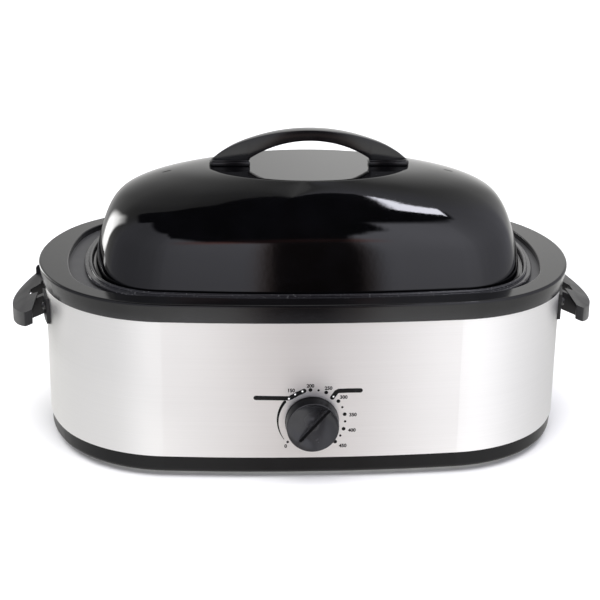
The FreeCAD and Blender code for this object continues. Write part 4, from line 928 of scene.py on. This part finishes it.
# ------------------------------------------------------------------ pieces kept from the CAD, with rounded edges
def softened(node, name, width, segments=3, angle=28, slot=None, body="housing", smooth=40, look=None):
    """A copy of a CAD node's mesh with its facets merged and its edges rounded."""
    src = NODES[node]
    me = src.data.copy()
    ob = bpy.data.objects.new(name, me)
    COLL.objects.link(ob)
    ob.matrix_world = src.matrix_world.copy()
    bm = bmesh.new()
    bm.from_mesh(me)
    bmesh.ops.remove_doubles(bm, verts=bm.verts, dist=1.5e-6)
    bmesh.ops.dissolve_limit(bm, angle_limit=math.radians(0.25), verts=bm.verts, edges=bm.edges)
    bmesh.ops.recalc_face_normals(bm, faces=bm.faces)
    bm.to_mesh(me)
    bm.free()
    me.materials.clear()
    me.materials.append(MATERIAL[look or slot or SLOT_OF[node]])
    bevel(ob, width * MM, segments, angle, smooth)
    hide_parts(node)
    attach(ob, body)
    return ob


for side in ("left", "right"):
    softened(side + "_side_handle", side + "_carry_handle", 0.6, 2, 24, smooth=19, look="handle_black")

# ------------------------------------------------------------------ stage, light and camera
def stage_floor():
    me = bpy.data.meshes.new("floor")
    s = 45.0
    me.from_pydata([(-s, -s, 0), (s, -s, 0), (s, s, 0), (-s, s, 0)], [], [(0, 1, 2, 3)])
    ob = bpy.data.objects.new("floor", me)
    COLL.objects.link(ob)
    m = Mat("floor_paper", (0.86, 0.86, 0.86), 0.7, spec=0.2)
    g = m.noise(m.space((1, 1, 1)), 3.0, 3.0, 0.5)
    m.color(m.mix(m.fit(g, 0.3, 0.7, 0, 1), (0.85, 0.85, 0.85), (0.87, 0.87, 0.87)))
    me.materials.append(m.m)
    ob.visible_glossy = False


stage_floor()


def area(name, loc, target, size, size_y, energy, color=(1, 1, 1), glossy=True, diffuse=True):
    li = bpy.data.lights.new(name, "AREA")
    li.shape = "RECTANGLE"
    li.size = size
    li.size_y = size_y
    li.energy = energy
    li.color = color
    ob = bpy.data.objects.new(name, li)
    COLL.objects.link(ob)
    ob.location = loc
    d = Vector(target) - Vector(loc)
    ob.rotation_euler = d.to_track_quat("-Z", "Y").to_euler()
    ob.visible_glossy = glossy
    ob.visible_diffuse = diffuse
    ob.visible_camera = False
    return ob


sun = bpy.data.lights.new("soft_sky", "SUN")
sun.energy = 3.9
sun.angle = math.radians(70)
so = bpy.data.objects.new("soft_sky", sun)
COLL.objects.link(so)
so.rotation_euler = (math.radians(12), math.radians(-8), 0)
so.visible_glossy = False

world = bpy.data.worlds.new("studio")
SCENE.world = world
world.use_nodes = True
wt = world.node_tree
wt.nodes.clear()
wo = wt.nodes.new("ShaderNodeOutputWorld")
wb = wt.nodes.new("ShaderNodeBackground")
wt.links.new(wb.outputs[0], wo.inputs[0])
wc = wt.nodes.new("ShaderNodeTexCoord")
ws = wt.nodes.new("ShaderNodeSeparateXYZ")
wt.links.new(wc.outputs["Generated"], ws.inputs[0])


def wrange(sock, lo, hi, a, b):
    n = wt.nodes.new("ShaderNodeMapRange")
    n.interpolation_type = "SMOOTHSTEP"
    wt.links.new(sock, n.inputs["Value"])
    n.inputs["From Min"].default_value = lo
    n.inputs["From Max"].default_value = hi
    n.inputs["To Min"].default_value = a
    n.inputs["To Max"].default_value = b
    return n.outputs["Result"]


def wmath(op, a, b):
    n = wt.nodes.new("ShaderNodeMath")
    n.operation = op
    for i, v in enumerate((a, b)):
        if hasattr(v, "is_linked"):
            wt.links.new(v, n.inputs[i])
        else:
            n.inputs[i].default_value = v
    return n.outputs[0]


def lump(sock, a, b, soft):
    """1 between a and b, with soft ends."""
    return wmath("MULTIPLY", wrange(sock, a - soft, a + soft, 0.0, 1.0), wrange(sock, b - soft, b + soft, 1.0, 0.0))


# directions in degrees: azimuth 0 at the front, positive to the right, and height over the horizon
azimuth = wmath("MULTIPLY", wmath("ARCTAN2", ws.outputs["X"], wmath("MULTIPLY", ws.outputs["Y"], -1.0)), 180 / PI)
height = wmath("MULTIPLY", wmath("ARCSINE", ws.outputs["Z"], 0.0), 180 / PI)
around = wmath("DIVIDE", wmath("ADD", azimuth, 180.0), 360.0)


def wramp(stops, top):
    """A value that follows the azimuth, read from (degrees, value) stops."""
    n = wt.nodes.new("ShaderNodeValToRGB")
    wt.links.new(around, n.inputs["Fac"])
    n.color_ramp.interpolation = "EASE"
    while len(n.color_ramp.elements) > 1:
        n.color_ramp.elements.remove(n.color_ramp.elements[-1])
    for k, (deg, v) in enumerate(stops):
        pos = (deg + 180) / 360
        e = n.color_ramp.elements[0] if k == 0 else n.color_ramp.elements.new(pos)
        e.position = pos
        e.color = (v / top, v / top, v / top, 1)
    return wmath("MULTIPLY", n.outputs["Color"], top)


# white walls of the studio: brighter at the right, open where the camera stands, dark over them
wall = wramp([(-180, 0.80), (-168, 0.58), (-150, 0.34), (-138, 0.26), (-126, 0.28), (-114, 0.44), (-98, 0.49), (-83, 0.53), (-68, 0.57), (-53, 0.64),
              (-38, 0.71), (-23, 0.88), (-12, 1.16), (-5.0, 1.2), (-1.0, 0.03), (9.5, 0.03), (15.0, 1.42), (30, 1.54), (45, 1.46), (60, 1.2),
              (75, 1.04), (90, 0.92), (105, 0.80), (120, 0.68), (135, 0.56), (150, 0.50), (162, 0.86), (174, 0.98), (180, 0.80)], 2.0)
edge = wramp([(-180, 96), (-152, 94), (-138, 84), (-130, 44), (-116, 46), (-106, 59), (-40, 59), (-30, 54), (-22, 49), (-12, 40), (-3, 36), (9, 36),
              (14, 50), (22, 57), (36, 70), (82, 69), (98, 66), (114, 67), (128, 90), (150, 96), (180, 96)], 100.0)
front = lump(azimuth, -120.0, 140.0, 12.0)
rise = wmath("ADD", 0.80, wmath("MULTIPLY", wrange(height, -12.0, 48.0, 0.0, 1.0), 0.26))
fall = wrange(height, 2.0, 46.0, 1.25, 0.76)
slope = wmath("ADD", wmath("MULTIPLY", front, rise), wmath("MULTIPLY", wmath("SUBTRACT", 1.0, front), fall))
ring = wmath("MULTIPLY", wmath("MULTIPLY", wall, slope), wrange(wmath("SUBTRACT", height, edge), -2.5, 2.5, 1.0, 0.0))
gap = lump(azimuth, -3.0, 11.0, 3.0)
# two bare lamps: a strip high on the right, and one at the back left that leans
strip = wmath("MULTIPLY", lump(azimuth, 98.0, 118.0, 2.0), lump(height, 69.5, 76.0, 0.9))
lean = wmath("ADD", azimuth, wmath("MULTIPLY", wmath("SUBTRACT", 33.0, height), 0.55))
side = wmath("MULTIPLY", wmath("MULTIPLY", lump(lean, -131.0, -122.0, 2.5), lump(height, -10.0, 30.0, 4.0)), wrange(height, 10.0, 33.0, 1.0, 0.2))
glow = wmath("MULTIPLY", lump(azimuth, -16.0, 14.0, 6.0), lump(height, 37.0, 43.0, 3.0))
# the table under the horizon: pale, and darker where the camera stands
dim = wmath("ADD", wmath("MULTIPLY", lump(height, -27.0, -14.0, 3.0), 0.40), wmath("MULTIPLY", lump(height, -48.0, -33.0, 2.5), 0.42))
table = wmath("SUBTRACT", wramp([(-180, 0.34), (-163, 0.38), (-150, 0.78), (-135, 0.95), (-60, 1.03), (-30, 1.32), (-10, 1.46), (20, 1.46), (50, 1.25), (85, 0.98), (120, 0.84), (170, 0.84), (180, 0.34)], 2.0), wmath("MULTIPLY", gap, wmath("ADD", 1.0, dim)))
below = wrange(height, -16.0, -3.0, 1.0, 0.0)
ring = wmath("ADD", wmath("MULTIPLY", ring, wmath("SUBTRACT", 1.0, below)), wmath("MULTIPLY", table, below))
level = wmath("ADD", ring, 0.008)
level = wmath("ADD", level, wmath("ADD", wmath("MULTIPLY", strip, 15.0), wmath("MULTIPLY", side, 5.0)))
level = wmath("ADD", level, wmath("MULTIPLY", glow, 0.12))
wt.links.new(level, wb.inputs["Strength"])


def wtint(fac, a, b):
    n = wt.nodes.new("ShaderNodeMix")
    n.data_type = "RGBA"
    wt.links.new(fac, n.inputs[0])
    for k, v in ((6, a), (7, b)):
        if hasattr(v, "is_linked"):
            wt.links.new(v, n.inputs[k])
        else:
            n.inputs[k].default_value = (*v, 1)
    return n.outputs[2]


tint = wtint(wmath("MULTIPLY", front, wrange(height, -14.0, 0.0, 0.0, 1.0)), (1.0, 0.996, 0.985), (0.955, 0.955, 1.06))
tint = wtint(gap, tint, (1.0, 0.72, 0.64))
tint = wtint(glow, tint, (1.0, 0.42, 0.36))
wt.links.new(tint, wb.inputs["Color"])

# camera of the photo: 19.8 degrees down, 3.55 degrees round to the left end
F_PX, DIST, ELEV, YAW, ROLL, CX, CY, MID = 1477.46, 1.5516, 0.345, 0.062, 0.013, 303.22, 301.55, 0.12732
ce, se, cy, sy = math.cos(ELEV), math.sin(ELEV), math.cos(YAW), math.sin(YAW)
right = Vector((cy, -sy, 0))
up = Vector((se * sy, se * cy, ce))
back_dir = -Vector((ce * sy, ce * cy, -se))
cam_x = right * math.cos(ROLL) + up * math.sin(ROLL)
cam_y = up * math.cos(ROLL) - right * math.sin(ROLL)
cam = bpy.data.cameras.new("camera")
cam.sensor_width = 36
cam.sensor_fit = "HORIZONTAL"
cam.lens = F_PX / 600 * 36
cam.shift_x = -(CX - 300) / 600
cam.shift_y = (CY - 300) / 600
cam.clip_start = 0.05
cam.clip_end = 60
co = bpy.data.objects.new("camera", cam)
COLL.objects.link(co)
pos = Vector((0, 0, MID)) + back_dir * DIST
co.matrix_world = Matrix(((cam_x.x, cam_y.x, back_dir.x, pos.x), (cam_x.y, cam_y.y, back_dir.y, pos.y), (cam_x.z, cam_y.z, back_dir.z, pos.z), (0, 0, 0, 1)))
SCENE.camera = co
SCENE.view_settings.view_transform = "Standard"
SCENE.view_settings.look = "None"
SCENE.view_settings.exposure = 0.0

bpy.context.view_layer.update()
